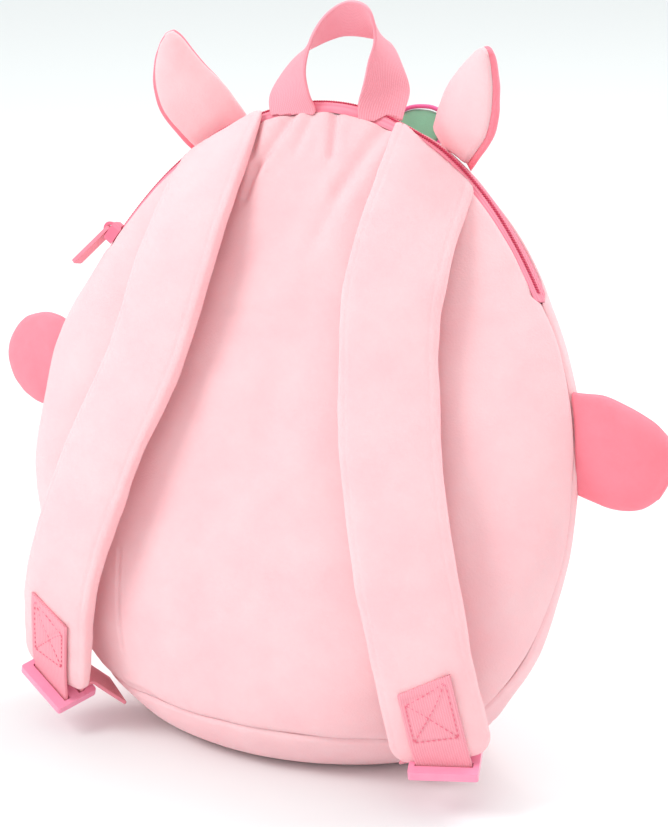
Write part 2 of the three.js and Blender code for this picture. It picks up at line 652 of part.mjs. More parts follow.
// The moulded frame of a buckle: a front, a middle and a rear bar with two slots between them
function buckleGeometry() {
  const front = -BUCKLE_SLOT / 2 - BUCKLE_BAR;
  const rear = front + 3 * BUCKLE_BAR + 2 * BUCKLE_SLOT;
  const rim = rectangle(SLOT_HALF_WIDTH + BUCKLE_RAIL, rear, front);
  const outline = roundedPath(new THREE.Shape(), rim, BUCKLE_RAIL / 2);
  for (const slotFront of [-BUCKLE_SLOT / 2, BUCKLE_SLOT / 2 + BUCKLE_BAR]) {
    const slot = rectangle(SLOT_HALF_WIDTH, slotFront + BUCKLE_SLOT, slotFront);
    outline.holes.push(roundedPath(new THREE.Path(), slot, GAP));
  }
  const options = { depth: BUCKLE_THICKNESS, bevelEnabled: false, curveSegments: 2 };
  return new THREE.ExtrudeGeometry(outline, options).translate(0, 0, -BUCKLE_THICKNESS / 2);
}

// A straight stretch of webbing through places of a frame, each a distance back and up.
function webbingPath(frame, places) {
  return places.map(({ back, up }, index) => {
    const before = places[Math.max(index - 1, 0)];
    const after = places[Math.min(index + 1, places.length - 1)];
    const along = new THREE.Vector3(0, after.back - before.back, after.up - before.up).normalize();
    return {
      point: new THREE.Vector3(0, back, up).applyMatrix4(frame),
      wide: new THREE.Vector3(1, 0, 0).transformDirection(frame),
      outward: new THREE.Vector3(0, along.z, -along.y).transformDirection(frame),
      width: WEBBING_WIDTH,
    };
  });
}

// The upper webbing: a patch sewn on the strap's face, then down into the buckle's front slot
function upperWebbingStations(turns) {
  const stations = [];
  for (let step = 0; step <= PATCH_STEPS; step += 1) {
    const station = strapStation(1 - PATCH_SHARE * (1 - step / PATCH_STEPS));
    const slant = step === 0 ? PATCH_SLANT / WEBBING_WIDTH : 0;
    const wide = station.wide.addScaledVector(station.down, -slant);
    const width = WEBBING_WIDTH * wide.length();
    const point = station.point.addScaledVector(station.outward, PATCH_LIFT);
    stations.push({ point, wide: wide.normalize(), outward: station.outward, width });
  }
  const halfway = buckleFrame({ roll: turns.roll * HALFWAY_TURN, tip: 0, drop: -STRAP_CORNER / 2 });
  stations.push(...webbingPath(halfway, [{ back: 0, up: PATCH_LIFT }]).map((station) => ({
    ...station,
    outward: new THREE.Vector3(0, 0, 1).transformDirection(halfway),
  })));
  const below = -BUCKLE_THICKNESS / 2 - WEBBING;
  stations.push(...webbingPath(buckleFrame(turns), [
    { back: 0, up: BUCKLE_THICKNESS / 2 },
    { back: 0, up: below },
  ]));
  return stations;
}

// The lower webbing from the buckle's rear slot to the bag's bottom corner
function lowerWebbingStations(turns) {
  const frame = buckleFrame(turns);
  const slotMiddle = BUCKLE_BAR + BUCKLE_SLOT;
  const rear = slotMiddle + BUCKLE_SLOT / 2 + BUCKLE_BAR;
  const stations = webbingPath(frame, [
    { back: slotMiddle, up: -BUCKLE_THICKNESS / 2 - WEBBING },
    { back: slotMiddle, up: 0 },
    { back: slotMiddle + WEBBING / 2, up: BUCKLE_THICKNESS / 2 + WEBBING },
    { back: rear, up: BUCKLE_THICKNESS / 2 + WEBBING },
  ]);
  const start = stations[stations.length - 1];
  const corner = bagPoint(BOTTOM_CORNER);
  const turn = radians(BOTTOM_CORNER.turn);
  const cornerWide = new THREE.Vector3(Math.cos(turn), Math.sin(turn), BOTTOM_CORNER.rise);
  const along = corner.clone().sub(start.point).normalize();
  for (let index = 1; index <= LOWER_STATIONS; index += 1) {
    const share = index / LOWER_STATIONS;
    const point = start.point.clone().lerp(corner, share);
    const wide = start.wide.clone().lerp(cornerWide, share).normalize();
    const outward = new THREE.Vector3().crossVectors(along, wide).normalize();
    stations.push({ point, wide, outward, width: WEBBING_WIDTH });
  }
  return stations;
}

// A padded shoulder strap with its sewn webbing, buckle and lower webbing
function addStrap({ name, side, ...turns }) {
  const matrix = side < 0 ? mirrorX : new THREE.Matrix4();
  const belowZip = seamBox(-FAR, -ZIP_BACK_TAPE - GAP, -FAR);
  const strap = strapSolid(matrix).intersect(belowZip).subtract(clearBody).subtract(handleClear);
  addPiece("shoulder_strap_" + name, strap, COLOURS.plush);
  const strapClear = strapSolid(matrix, GAP);
  const patch = carried(strip(upperWebbingStations(turns), WEBBING), matrix).subtract(strapClear);
  addPiece("strap_webbing_" + name, patch, COLOURS.webbing, 0.7);
  const buckleMatrix = matrix.clone().multiply(buckleFrame(turns));
  const buckle = carried(buckleGeometry(), buckleMatrix).subtract(strapClear);
  addPiece("buckle_" + name, buckle.subtract(clearBody), COLOURS.plastic, 0.35);
  const lower = carried(strip(lowerWebbingStations(turns), WEBBING), matrix);
  const lowered = lower.subtract(clearBody).subtract(strapClear);
  addPiece("lower_webbing_" + name, lowered, COLOURS.webbing, 0.7);
}

// The zip slider with its bridge, and the pull tab that swings on the bridge
function addSlider() {
  const frame = sliderFrame();
  const halfWidth = SLIDER_WIDTH / 2;
  const halfLength = SLIDER_LENGTH / 2;
  const outline = roundedPath(
    new THREE.Shape(),
    rectangle(halfWidth, halfLength, -halfLength),
    SLIDER_WIDTH / 4,
  );
  const options = { depth: SLIDER_HEIGHT + CLOTH, bevelEnabled: false, curveSegments: 2 };
  const block = new THREE.ExtrudeGeometry(outline, options).translate(0, 0, -CLOTH);
  const plate = carried(block, frame);
  const ring = new THREE.Shape();
  const outer = PULL_AXIS_ROOM + BRIDGE_WIRE;
  ring.absarc(0, 0, outer, 0, Math.PI, false);
  ring.lineTo(-outer, -PULL_AXIS_LIFT - GAP);
  ring.lineTo(-PULL_AXIS_ROOM, -PULL_AXIS_LIFT - GAP);
  ring.absarc(0, 0, PULL_AXIS_ROOM, Math.PI, 0, true);
  ring.lineTo(PULL_AXIS_ROOM, -PULL_AXIS_LIFT - GAP);
  ring.lineTo(outer, -PULL_AXIS_LIFT - GAP);
  const bridgeOptions = { depth: BRIDGE_WIDTH, bevelEnabled: false, curveSegments: 6 };
  const bridge = new THREE.ExtrudeGeometry(ring, bridgeOptions)
    .translate(0, 0, -BRIDGE_WIDTH / 2)
    .rotateY(Math.PI / 2)
    .rotateX(Math.PI / 2)
    .translate(0, 0, SLIDER_HEIGHT + PULL_AXIS_LIFT);
  const slider = plate.add(carried(bridge, frame)).subtract(clearBody);
  addPiece("zipper_slider", slider, COLOURS.teeth, 0.4);
  const tab = roundedPath(
    new THREE.Shape(),
    rectangle(PULL_WIDTH / 2, PULL_BAR / 2, -PULL_LENGTH),
    PULL_BAR / 2,
  );
  const holeCorners = rectangle(PULL_HOLE / 2, -PULL_BAR / 2, -outer - 2 * GAP);
  tab.holes.push(roundedPath(new THREE.Path(), holeCorners, GAP));
  const tabOptions = { depth: PULL_BAR, bevelEnabled: false, curveSegments: 3 };
  const pull = new THREE.ExtrudeGeometry(tab, tabOptions)
    .translate(0, 0, -PULL_BAR / 2)
    .rotateX(-radians(PULL_TILT))
    .translate(0, 0, SLIDER_HEIGHT + PULL_AXIS_LIFT);
  addPiece("zipper_pull", carried(pull, frame), COLOURS.deepPlush, 0.5);
}

addBag();
addSlider();
addPiece("carry_handle", handleSolid, COLOURS.webbing, 0.7);
addEars();
addArms();
addCrest();
STRAP_SIDES.forEach(addStrap);

export default group;
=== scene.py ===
import bpy
import math
import numpy as np
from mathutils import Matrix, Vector


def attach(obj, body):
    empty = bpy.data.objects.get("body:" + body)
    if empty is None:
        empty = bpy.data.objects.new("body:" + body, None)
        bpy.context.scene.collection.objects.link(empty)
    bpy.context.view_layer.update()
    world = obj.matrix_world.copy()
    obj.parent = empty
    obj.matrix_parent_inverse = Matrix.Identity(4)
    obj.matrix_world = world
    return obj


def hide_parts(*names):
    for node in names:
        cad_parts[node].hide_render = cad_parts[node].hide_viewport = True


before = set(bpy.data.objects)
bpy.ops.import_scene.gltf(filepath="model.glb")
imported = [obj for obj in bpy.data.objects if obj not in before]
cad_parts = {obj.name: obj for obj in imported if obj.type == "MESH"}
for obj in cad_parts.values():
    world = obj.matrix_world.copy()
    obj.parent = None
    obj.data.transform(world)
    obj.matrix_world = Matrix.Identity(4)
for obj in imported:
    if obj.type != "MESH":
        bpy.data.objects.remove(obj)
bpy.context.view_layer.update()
MM = 0.001

# A kids' plush backpack, dressed over the solids of the frame. The pieces are worked out in
# millimetres, with the sizes and tables of the part, and stored in metres.
BODY_WIDTH = 273
BODY_HEIGHT = 293
BODY_DEPTH = 122
CLOTH_SHOWN = 2.25
TAPE_SHOWN = 1.0
BASE_BAND = 23
SEAM_TOP_Y = 31
SEAM_LEAN = math.radians(13)
ZIP_DROP = 77
ZIP_BACK_TAPE = 3.2
ZIP_FRONT_TAPE = 8
WEBBING_WIDTH = 25
WEBBING = 1.6
STRAP_WIDTH = 46
STRAP_THICKNESS = 10
STRAP_CORNER = 9
HANDLE_SPAN = 44
HANDLE_RISE = 54
EAR_LENGTH = 62
EAR_WIDTH = 36
EAR_THICKNESS = 12
EAR_SEAM = -0.03
EAR_SEAM_TURN = math.radians(6)
ARM_REACH = 46
ARM_HEIGHT = 46
ARM_THICKNESS = 20
CREST_LENGTH = 32
CREST_WIDTH = 20
CREST_THICKNESS = 5
BUCKLE_BAR = 5
BUCKLE_SLOT = 3.4
BUCKLE_THICKNESS = 4
CROWN_DEPTH = 0.254
FRONT_SQUARE = 1.88
TINY = 1e-3
SEAM_ROOM = 0.03
PIECE_ROOM = 0.2
TIP_SHARE = 0.07
MIRROR = np.array([-1, 1, 1])

# height, half_width, back, ridge, front, square
BODY_SECTIONS = [
    (0.0, 0.5, -0.31, 0.02, 0.29, 1.9),
    (0.012, 0.57, -0.41, 0.0, 0.35, 1.9),
    (0.04, 0.655, -0.48, -0.03, 0.41, 1.9),
    (0.09, 0.76, -0.53, -0.06, 0.47, 1.95),
    (0.2, 0.905, -0.54, -0.1, 0.54, 2.1),
    (0.35, 0.99, -0.46, -0.1, 0.58, 2.3),
    (0.47, 1.0, -0.36, -0.05, 0.59, 2.3),
    (0.6, 0.965, -0.24, 0.03, 0.57, 2.3),
    (0.74, 0.825, -0.08, 0.13, 0.52, 2.2),
    (0.86, 0.635, 0.06, 0.19, 0.45, 2.1),
    (0.94, 0.43, 0.16, 0.23, 0.38, 2.0),
    (0.985, 0.21, 0.22, 0.25, 0.32, 2.0),
]
# across, depth, height, yaw, tilt, wide, thick
STRAP_LINE = [
    (0.395, 0.25, 0.962, 8, 25, 0.93, 0.5),
    (0.405, 0.1, 0.907, 10, 15, 0.97, 0.8),
    (0.41, -0.09, 0.825, 12, 6, 1, 1),
    (0.42, -0.225, 0.735, 12, 0, 1, 1),
    (0.465, -0.335, 0.615, 12, 0, 1, 1),
    (0.535, -0.455, 0.505, 12, 0, 1, 1),
    (0.595, -0.52, 0.41, 13, 0, 1, 1),
    (0.65, -0.555, 0.325, 14, 0, 1, 1),
    (0.695, -0.56, 0.235, 16, 0, 1, 1),
    (0.737, -0.51, 0.117, 18, -11, 1, 0.85),
]
# near_x, near_y, near_z, far_x, far_y, far_z
HANDLE_EDGES = [
    (-0.17, 0.05, -0.14, -0.66, 0.05, -0.22),
    (-0.16, 0.04, 0.04, -0.69, 0.05, -0.06),
    (-0.2, -0.07, 0.19, -0.75, 0.2, 0.12),
    (-0.23, -0.14, 0.37, -0.68, 0.47, 0.3),
    (-0.18, -0.2, 0.55, -0.52, 0.6, 0.46),
    (-0.07, -0.26, 0.74, -0.3, 0.6, 0.56),
    (0.11, -0.29, 0.91, -0.08, 0.46, 0.63),
    (0.34, -0.3, 1, 0.12, 0.35, 0.67),
    (0.55, -0.29, 0.94, 0.34, 0.45, 0.66),
    (0.6, -0.23, 0.7, 0.49, 0.74, 0.6),
    (0.51, -0.17, 0.5, 0.63, 0.79, 0.4),
    (0.43, -0.1, 0.3, 0.71, 0.78, 0.22),
    (0.36, -0.06, 0.14, 0.76, 0.4, 0.06),
    (0.34, 0.03, 0.0, 0.77, 0.08, -0.13),
    (0.34, 0.05, -0.16, 0.76, 0.05, -0.28),
]
# along, wide, thick, bow
EAR_SECTIONS = [
    (0.0, 0.86, 0.6, -0.06),
    (0.18, 0.96, 0.75, 0.0),
    (0.42, 1.0, 1, 0.1),
    (0.62, 0.85, 1, 0.14),
    (0.8, 0.61, 0.9, 0.12),
    (0.93, 0.36, 0.7, 0.06),
    (0.99, 0.17, 0.4, 0.02),
]
ARM_SECTIONS = [
    (-0.2, 0.8, 0.6, 0),
    (0.1, 0.98, 0.85, 0),
    (0.4, 1.0, 1, 0),
    (0.7, 0.9, 1, 0),
    (0.88, 0.7, 0.85, 0),
    (0.98, 0.38, 0.5, 0),
]
CREST_SECTIONS = [
    (0.0, 0.6, 0.8, 0),
    (0.3, 0.95, 1, 0),
    (0.6, 1, 1, 0),
    (0.85, 0.65, 0.9, 0),
    (0.98, 0.2, 0.5, 0),
]
EARS = {
    "left": dict(side=-1, at=(0.45, 0.32, 0.9), turns=(11, 22, -12), bend=1),
    "right": dict(side=1, at=(0.413, 0.32, 0.935), turns=(11, 35, -24), bend=0.6),
}
ARMS = {
    "left": dict(side=-1, at=(0.965, 0.05, 0.543), turns=(0, 96, 22)),
    "right": dict(side=1, at=(0.965, 0.05, 0.543), turns=(0, 114, 14)),
}
CREST = dict(side=1, at=(0.12, 0.39, 0.92), turns=(-18, 60, 0))
SIDES = {
    "left": dict(side=-1, roll=16, tip=84, drop=4),
    "right": dict(side=1, roll=-10, tip=84, drop=3.5),
}


# Small tools
def column(rows, index, share):
    values = np.array([row[index] for row in rows], float)
    place = np.clip(np.asarray(share, float), 0, 1) * (len(rows) - 1)
    row = np.minimum(place.astype(int), len(rows) - 2)
    t = place - row
    a, b, c, d = (values[np.clip(row + k, 0, len(rows) - 1)] for k in (-1, 0, 1, 2))
    return (2 * b + (c - a) * t + (2 * a - 5 * b + 4 * c - d) * t**2 + (3 * b - 3 * c + d - a) * t**3) / 2


def spow(value, power):
    return np.sign(value) * np.abs(value) ** power


def smooth(value, low, high):
    t = np.clip((value - low) / (high - low), 0, 1)
    return t * t * (3 - 2 * t)


def unit(v):
    return v / np.maximum(np.linalg.norm(v, axis=-1, keepdims=True), 1e-9)


def ripple(points, size, seed):
    """Smooth noise of about -1 to 1 with waves of a size in millimetres."""
    rng = np.random.RandomState(seed)
    total = np.zeros(points.shape[:-1])
    for _ in range(14):
        direction = unit(rng.normal(size=3))
        wave = 2 * math.pi / (size * rng.uniform(0.7, 1.5))
        total += np.sin(points @ direction * wave + rng.uniform(0, 6.28))
    return total / 4


def resample(line, count):
    """Points equally far apart along a polyline."""
    steps = np.linalg.norm(np.diff(line, axis=0), axis=1)
    length = np.concatenate([[0], np.cumsum(steps)])
    places = np.linspace(0, length[-1], count)
    even = np.stack([np.interp(places, length, line[:, k]) for k in range(line.shape[1])], 1)
    return even, length[-1]


def grid_normals(P):
    du = np.gradient(P, axis=0)
    dv = np.gradient(P, axis=1)
    return unit(np.cross(du, dv))


def ring_normals(P):
    """Normals of a grid whose second direction is closed."""
    du = np.gradient(P, axis=0)
    dv = np.roll(P, -1, 1) - np.roll(P, 1, 1)
    return unit(np.cross(du, dv))


def add_mesh(name, points, faces, material, uv=None, flip=False):
    if flip:
        faces = [tuple(reversed(face)) for face in faces]
    mesh = bpy.data.meshes.new(name)
    mesh.from_pydata((np.asarray(points) * MM).tolist(), [], faces)
    if uv is not None:
        layer = mesh.uv_layers.new(name="weave")
        loops = np.zeros(len(mesh.loops), int)
        mesh.loops.foreach_get("vertex_index", loops)
        layer.data.foreach_set("uv", np.asarray(uv)[loops].astype(np.float32).ravel())
    mesh.materials.append(material)
    mesh.polygons.foreach_set("use_smooth", [True] * len(mesh.polygons))
    mesh.update()
    obj = bpy.data.objects.new(name, mesh)
    bpy.context.scene.collection.objects.link(obj)
    return obj


def grid_faces(rows, cols, closed=False, start=0):
    faces = []
    last = cols if closed else cols - 1
    for i in range(rows - 1):
        for j in range(last):
            k = (j + 1) % cols
            faces.append((start + i * cols + j, start + (i + 1) * cols + j,
                          start + (i + 1) * cols + k, start + i * cols + k))
    return faces


def add_wall(obj, thick):
    """Gives an outer face its thickness, inwards."""
    wall = obj.modifiers.new("wall", "SOLIDIFY")
    wall.thickness = thick * MM
    wall.offset = -1


def sheet_mesh(name, P, material, N, thick, uv=None):
    """A wall from a grid of points on its outer face, whose normals N point out of it."""
    rows, cols = P.shape[:2]
    flip = (grid_normals(P) * N).sum() < 0
    obj = add_mesh(name, P.reshape(-1, 3), grid_faces(rows, cols), material,
                   None if uv is None else uv.reshape(-1, 2), flip)
    add_wall(obj, thick)
    return obj


def volume(points, faces):
    total = 0.0
    for corners in (3, 4):
        chosen = np.array([face for face in faces if len(face) == corners])
        if len(chosen):
            a = points[chosen[:, 0]]
            for k in range(1, corners - 1):
                total += (np.cross(a, points[chosen[:, k]]) * points[chosen[:, k + 1]]).sum()
    return total / 6


def tube_mesh(name, P, material, uv=None):
    """A closed solid from rings of points, each end closed by a fan."""
    rows, cols = P.shape[:2]
    with_ends = lambda part: np.concatenate([part.reshape(-1, part.shape[-1]), part[0].mean(0, keepdims=True),
                                             part[-1].mean(0, keepdims=True)])
    points = with_ends(P)
    faces = grid_faces(rows, cols, closed=True)
    first, last = rows * cols, rows * cols + 1
    for j in range(cols):
        k = (j + 1) % cols
        faces.append((first, j, k))
        faces.append((last, (rows - 1) * cols + k, (rows - 1) * cols + j))
    uv = None if uv is None else with_ends(uv)
    return add_mesh(name, points, faces, material, uv, volume(points - points.mean(0), faces) < 0)


def settle(obj, body, node_name=None):
    """Puts a piece on a body, in place of a solid where one is named."""
    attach(obj, body)
    if node_name:
        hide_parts(node_name)


# Materials
def new_material(name, colour, rough, **constants):
    material = bpy.data.materials.new(name)
    material.use_nodes = True
    tree = material.node_tree
    shader = tree.nodes["Principled BSDF"]
    shader.inputs["Base Color"].default_value = (*colour, 1)
    shader.inputs["Roughness"].default_value = rough
    for key, value in constants.items():
        shader.inputs[key.replace("_", " ")].default_value = value
    return material, tree, shader


def node(tree, kind, **inputs):
    made = tree.nodes.new(kind)
    for key, value in inputs.items():
        if key in made.inputs:
            made.inputs[key].default_value = value
        else:
            setattr(made, key, value)
    return made


MOTTLE_RANGE = (0.35, 0.65)


def mottle(tree, shader, coords, colour, second, scale):
    """Varies the base colour between two near tones."""
    noise = node(tree, "ShaderNodeTexNoise", Scale=scale, Detail=4.0, Roughness=0.6)
    tree.links.new(coords, noise.inputs["Vector"])
    ramp = tree.nodes.new("ShaderNodeValToRGB")
    for stop, place, tone in zip(ramp.color_ramp.elements, MOTTLE_RANGE, (second, colour)):
        stop.position = place
        stop.color = (*tone, 1)
    tree.links.new(noise.outputs["Fac"], ramp.inputs["Fac"])
    tree.links.new(ramp.outputs["Color"], shader.inputs["Base Color"])


def velour(name, colour, second):
    """Short plush: a fine pile with a soft sheen, faint mottling and light that bleeds through it."""
    material, tree, shader = new_material(name, colour, 0.95, Sheen_Weight=0.12, Sheen_Roughness=0.5,
                                          Sheen_Tint=(1, 0.8, 0.84, 1), Specular_IOR_Level=0.1,
                                          Subsurface_Weight=0.3, Subsurface_Radius=(1, 0.35, 0.35),
                                          Subsurface_Scale=0.004)
    coords = tree.nodes.new("ShaderNodeTexCoord").outputs["Object"]
    mottle(tree, shader, coords, colour, second, 38)
    fine = node(tree, "ShaderNodeTexNoise", Scale=1100.0, Detail=2.0, Roughness=0.55)
    broad = node(tree, "ShaderNodeTexNoise", Scale=170.0, Detail=3.0, Roughness=0.5)
    for texture in (fine, broad):
        tree.links.new(coords, texture.inputs["Vector"])
    bump_broad = node(tree, "ShaderNodeBump", Strength=0.1, Distance=0.0012)
    bump_fine = node(tree, "ShaderNodeBump", Strength=0.3, Distance=0.0005)
    tree.links.new(broad.outputs["Fac"], bump_broad.inputs["Height"])
    tree.links.new(fine.outputs["Fac"], bump_fine.inputs["Height"])
    tree.links.new(bump_broad.outputs["Normal"], bump_fine.inputs["Normal"])
    tree.links.new(bump_fine.outputs["Normal"], shader.inputs["Normal"])
    return material


def woven(name, colour, second, rib=1.1, cross=0.7, depth=0.5):
    """Ribbed webbing: lengthwise ribs crossed by fine picks, on the weave coordinates in metres, with painted
    shade: the base colour darkens in the grooves.
    """
    material, tree, shader = new_material(name, colour, 0.72, Sheen_Weight=0.25, Sheen_Roughness=0.4,
                                          Sheen_Tint=(1, 0.85, 0.88, 1), Specular_IOR_Level=0.3)
    uv = node(tree, "ShaderNodeUVMap", uv_map="weave").outputs["UV"]
    split = tree.nodes.new("ShaderNodeSeparateXYZ")
    tree.links.new(uv, split.inputs[0])

    def sine(source, pitch, shift=None):
        wave = node(tree, "ShaderNodeMath", operation="MULTIPLY")
        wave.inputs[1].default_value = 2 * math.pi / (pitch * MM)
        tree.links.new(source, wave.inputs[0])
        value = wave.outputs[0]
        if shift is not None:
            add = node(tree, "ShaderNodeMath", operation="ADD")
            tree.links.new(value, add.inputs[0])
            tree.links.new(shift, add.inputs[1])
            value = add.outputs[0]
        out = node(tree, "ShaderNodeMath", operation="SINE")
        tree.links.new(value, out.inputs[0])
        return out.outputs[0]

    ribs = sine(split.outputs[0], rib)
    half = node(tree, "ShaderNodeMath", operation="MULTIPLY")
    half.inputs[1].default_value = math.pi / (rib * MM)
    tree.links.new(split.outputs[0], half.inputs[0])
    picks = sine(split.outputs[1], cross, half.outputs[0])
    product = node(tree, "ShaderNodeMath", operation="MULTIPLY_ADD")
    tree.links.new(picks, product.inputs[0])
    product.inputs[1].default_value = 0.45
    tree.links.new(ribs, product.inputs[2])
    bump = node(tree, "ShaderNodeBump", Strength=depth, Distance=0.0003)
    tree.links.new(product.outputs[0], bump.inputs["Height"])
    tree.links.new(bump.outputs["Normal"], shader.inputs["Normal"])
    # Painted shade: the base colour goes to the darker tone where the weave is low, in the grooves between ribs
    # and picks.
    shade_by_height = node(tree, "ShaderNodeMapRange")
    shade_by_height.inputs["From Min"].default_value = -1.4
    shade_by_height.inputs["From Max"].default_value = 1.4
    tree.links.new(product.outputs[0], shade_by_height.inputs["Value"])
    mix = node(tree, "ShaderNodeMix", data_type="RGBA")
    mix.inputs[6].default_value = (*second, 1)
    mix.inputs[7].default_value = (*colour, 1)
    tree.links.new(shade_by_height.outputs[0], mix.inputs[0])
    tree.links.new(mix.outputs[2], shader.inputs["Base Color"])
    return material


def moulded(name, colour, second, rough=0.32):
    material, tree, shader = new_material(name, colour, rough, Coat_Weight=0.15, Coat_Roughness=0.2,
                                          Subsurface_Weight=0.0)
    coords = tree.nodes.new("ShaderNodeTexCoord").outputs["Object"]
    mottle(tree, shader, coords, colour, second, 120)
    grain = node(tree, "ShaderNodeTexNoise", Scale=700.0, Detail=2.0)
    tree.links.new(coords, grain.inputs["Vector"])
    bump = node(tree, "ShaderNodeBump", Strength=0.06, Distance=0.0004)
    tree.links.new(grain.outputs["Fac"], bump.inputs["Height"])
    tree.links.new(bump.outputs["Normal"], shader.inputs["Normal"])
    return material


plush = velour("light_plush", (0.95, 0.58, 0.605), (0.94, 0.54, 0.57))
deep_plush = velour("deep_plush", (0.96, 0.265, 0.33), (0.95, 0.24, 0.3))
webbing = woven("ribbed_webbing", (0.95, 0.42, 0.49), (0.91, 0.3, 0.37), depth=0.4)
tape_cloth = woven("zip_tape", (0.93, 0.34, 0.43), (0.88, 0.25, 0.34), rib=0.9, cross=0.8, depth=0.3)
thread = new_material("thread", (0.86, 0.17, 0.26), 0.6)[0]
plastic = moulded("pink_plastic", (0.96, 0.33, 0.49), (0.94, 0.3, 0.46))
coil = moulded("zip_coil", (0.66, 0.045, 0.12), (0.6, 0.04, 0.1), 0.4)
metal_paint = moulded("slider_paint", (0.8, 0.17, 0.27), (0.76, 0.15, 0.25), 0.3)
pull_plastic = moulded("pull_plastic", (0.84, 0.26, 0.34), (0.8, 0.23, 0.31), 0.45)
green = velour("green_plush", (0.27, 0.62, 0.41), (0.24, 0.57, 0.37))
magenta = velour("magenta_plush", (0.78, 0.16, 0.36), (0.73, 0.14, 0.33))


# The bag's skin
shares = np.linspace(0, 1, 3000)
table = np.stack([column(BODY_SECTIONS, k, shares) for k in range(6)], 1)
table[:, 0] = np.maximum(table[:, 0], 0) * BODY_HEIGHT
table[:, 1] *= BODY_WIDTH / 2
table[:, 2:5] *= BODY_DEPTH
cap = np.linspace(0, 1, 200)[1:]
top = table[-1]
crown_y = CROWN_DEPTH * BODY_DEPTH
fall = np.sqrt(1 - cap)[:, None]
crown = np.concatenate([
    top[0] + (BODY_HEIGHT - top[0]) * cap[:, None],
    np.maximum(top[1] * fall, TINY),
    crown_y + (top[2] - crown_y) * fall - TINY,
    crown_y + (top[3] - crown_y) * fall,
    crown_y + (top[4] - crown_y) * fall + TINY,
    np.full_like(fall, top[5]),
], 1)
table = np.concatenate([table, crown])
table = table[np.argsort(table[:, 0], kind="stable")]


def section(z):
    return [np.interp(z, table[:, 0], table[:, k]) for k in range(1, 6)]


def seam_y(z, n=0.0):
    """Y of the seam plane moved forwards by n."""
    return SEAM_TOP_Y - math.tan(SEAM_LEAN) * (BODY_HEIGHT - z) + n / math.cos(SEAM_LEAN)


def crossing(z, n):
    """The ring angle on the right where the seam plane moved by n meets the skin, and if it does."""
    _, back, ridge, front, square = section(z)
    y = seam_y(z, n)
    behind = y < ridge
    power = np.where(behind, square, FRONT_SQUARE)
    reach = np.abs(y - ridge) / np.maximum(np.where(behind, ridge - back, front - ridge), 1e-6)
    angle = np.arcsin(np.where(behind, -1, 1) * np.clip(reach, 0, 1) ** (power / 2))
    return angle, reach <= 1


def skin_point(z, angle):
    half, back, ridge, front, square = section(z)
    behind = np.sin(angle) < 0
    power = 2 / np.where(behind, square, FRONT_SQUARE)
    reach = np.where(behind, ridge - back, front - ridge)
    x = half * spow(np.cos(angle), power)
    y = ridge + reach * spow(np.sin(angle), power)
    return np.stack([x, y, np.broadcast_to(z, x.shape)], -1)


def top_of(n):
    """The height where the seam plane moved by n meets the skin in the middle of the bag."""
    z = np.linspace(BODY_HEIGHT * 0.8, BODY_HEIGHT, 4000)
    _, ok = crossing(z, n)
    return z[ok].max()


def panel(front, low, rows, cols, edge_n):
    """A panel's grid from its lower edge up to the zip or seam, and each point's way to its side seams."""
    high = top_of(edge_n)
    t = np.linspace(0, 1, rows)
    levels = low + (high - low) * (1 - (1 - t) ** 1.5)
    P = np.zeros((rows, cols, 3))
    edge = np.zeros((rows, cols))
    parting = BODY_HEIGHT - ZIP_DROP * 0.974
    for i, z in enumerate(levels):
        n = edge_n * smooth(z, parting - 3, parting + 1.5)
        n += SEAM_ROOM if front else -SEAM_ROOM
        start = crossing(np.array(z), n)[0]
        if front:
            angles = np.linspace(start, math.pi - start, 500)
        else:
            angles = np.linspace(math.pi - start, 2 * math.pi + start, 500)
        line, length = resample(skin_point(z, angles), cols)
        P[i] = line
        edge[i] = np.minimum(np.linspace(0, length, cols), np.linspace(length, 0, cols))
    return P, edge


def crease(P, a, b, width, depth):
    """A valley along the line from a to b with a low ridge beside it, fading at its ends."""
    q = P[..., [0, 2]]
    a, b = np.array(a, float), np.array(b, float)
    line = b - a
    along = ((q - a) @ line) / (line @ line)
    across = ((q - a) @ np.array([-line[1], line[0]])) / np.linalg.norm(line)
    past = np.maximum(np.abs(along - 0.5) - 0.5, 0) * np.linalg.norm(line)
    fade = np.exp(-(past / (1.5 * width)) ** 2)
    valley = np.exp(-(across / width) ** 2)
    ridge = np.exp(-((across - 2.1 * width) / (1.3 * width)) ** 2)
    ridge += np.exp(-((across + 2.1 * width) / (1.3 * width)) ** 2)
    return depth * fade * (0.35 * ridge - valley)


def dress_back():
    P, edge = panel(False, BASE_BAND + SEAM_ROOM, 240, 340, -ZIP_BACK_TAPE)
    N = facing_out(grid_normals(P), P)
    z = P[..., 2]
    D = 0.45 * ripple(P, 46, 3) + 0.14 * ripple(P, 17, 4) + seam_pinch(edge, z)
    D += 0.7 * np.exp(-((z - BASE_BAND - 8) / 6) ** 2)
    for a, b, width, depth in BACK_FOLDS:
        D += crease(P, a, b, width, depth)
    return P, N, D


def facing_out(N, P):
    middle = np.array([0, 0, BODY_HEIGHT * 0.45])
    return N if (N * (P - middle)).sum() > 0 else -N


def seam_pinch(edge, z):
    """How far the skin is drawn in at its seams: much below the zip, little along it."""
    zipped = smooth(z, ZIP_END, ZIP_END + 6)
    side = -1.3 * np.exp(-(edge / 1.5) ** 2) * (1 - zipped) - 0.4 * np.exp(-(edge / 0.7) ** 2) * zipped
    return side - 1.1 * np.exp(-((z - BASE_BAND) / 1.3) ** 2)


ZIP_END = BODY_HEIGHT - ZIP_DROP * math.cos(SEAM_LEAN)
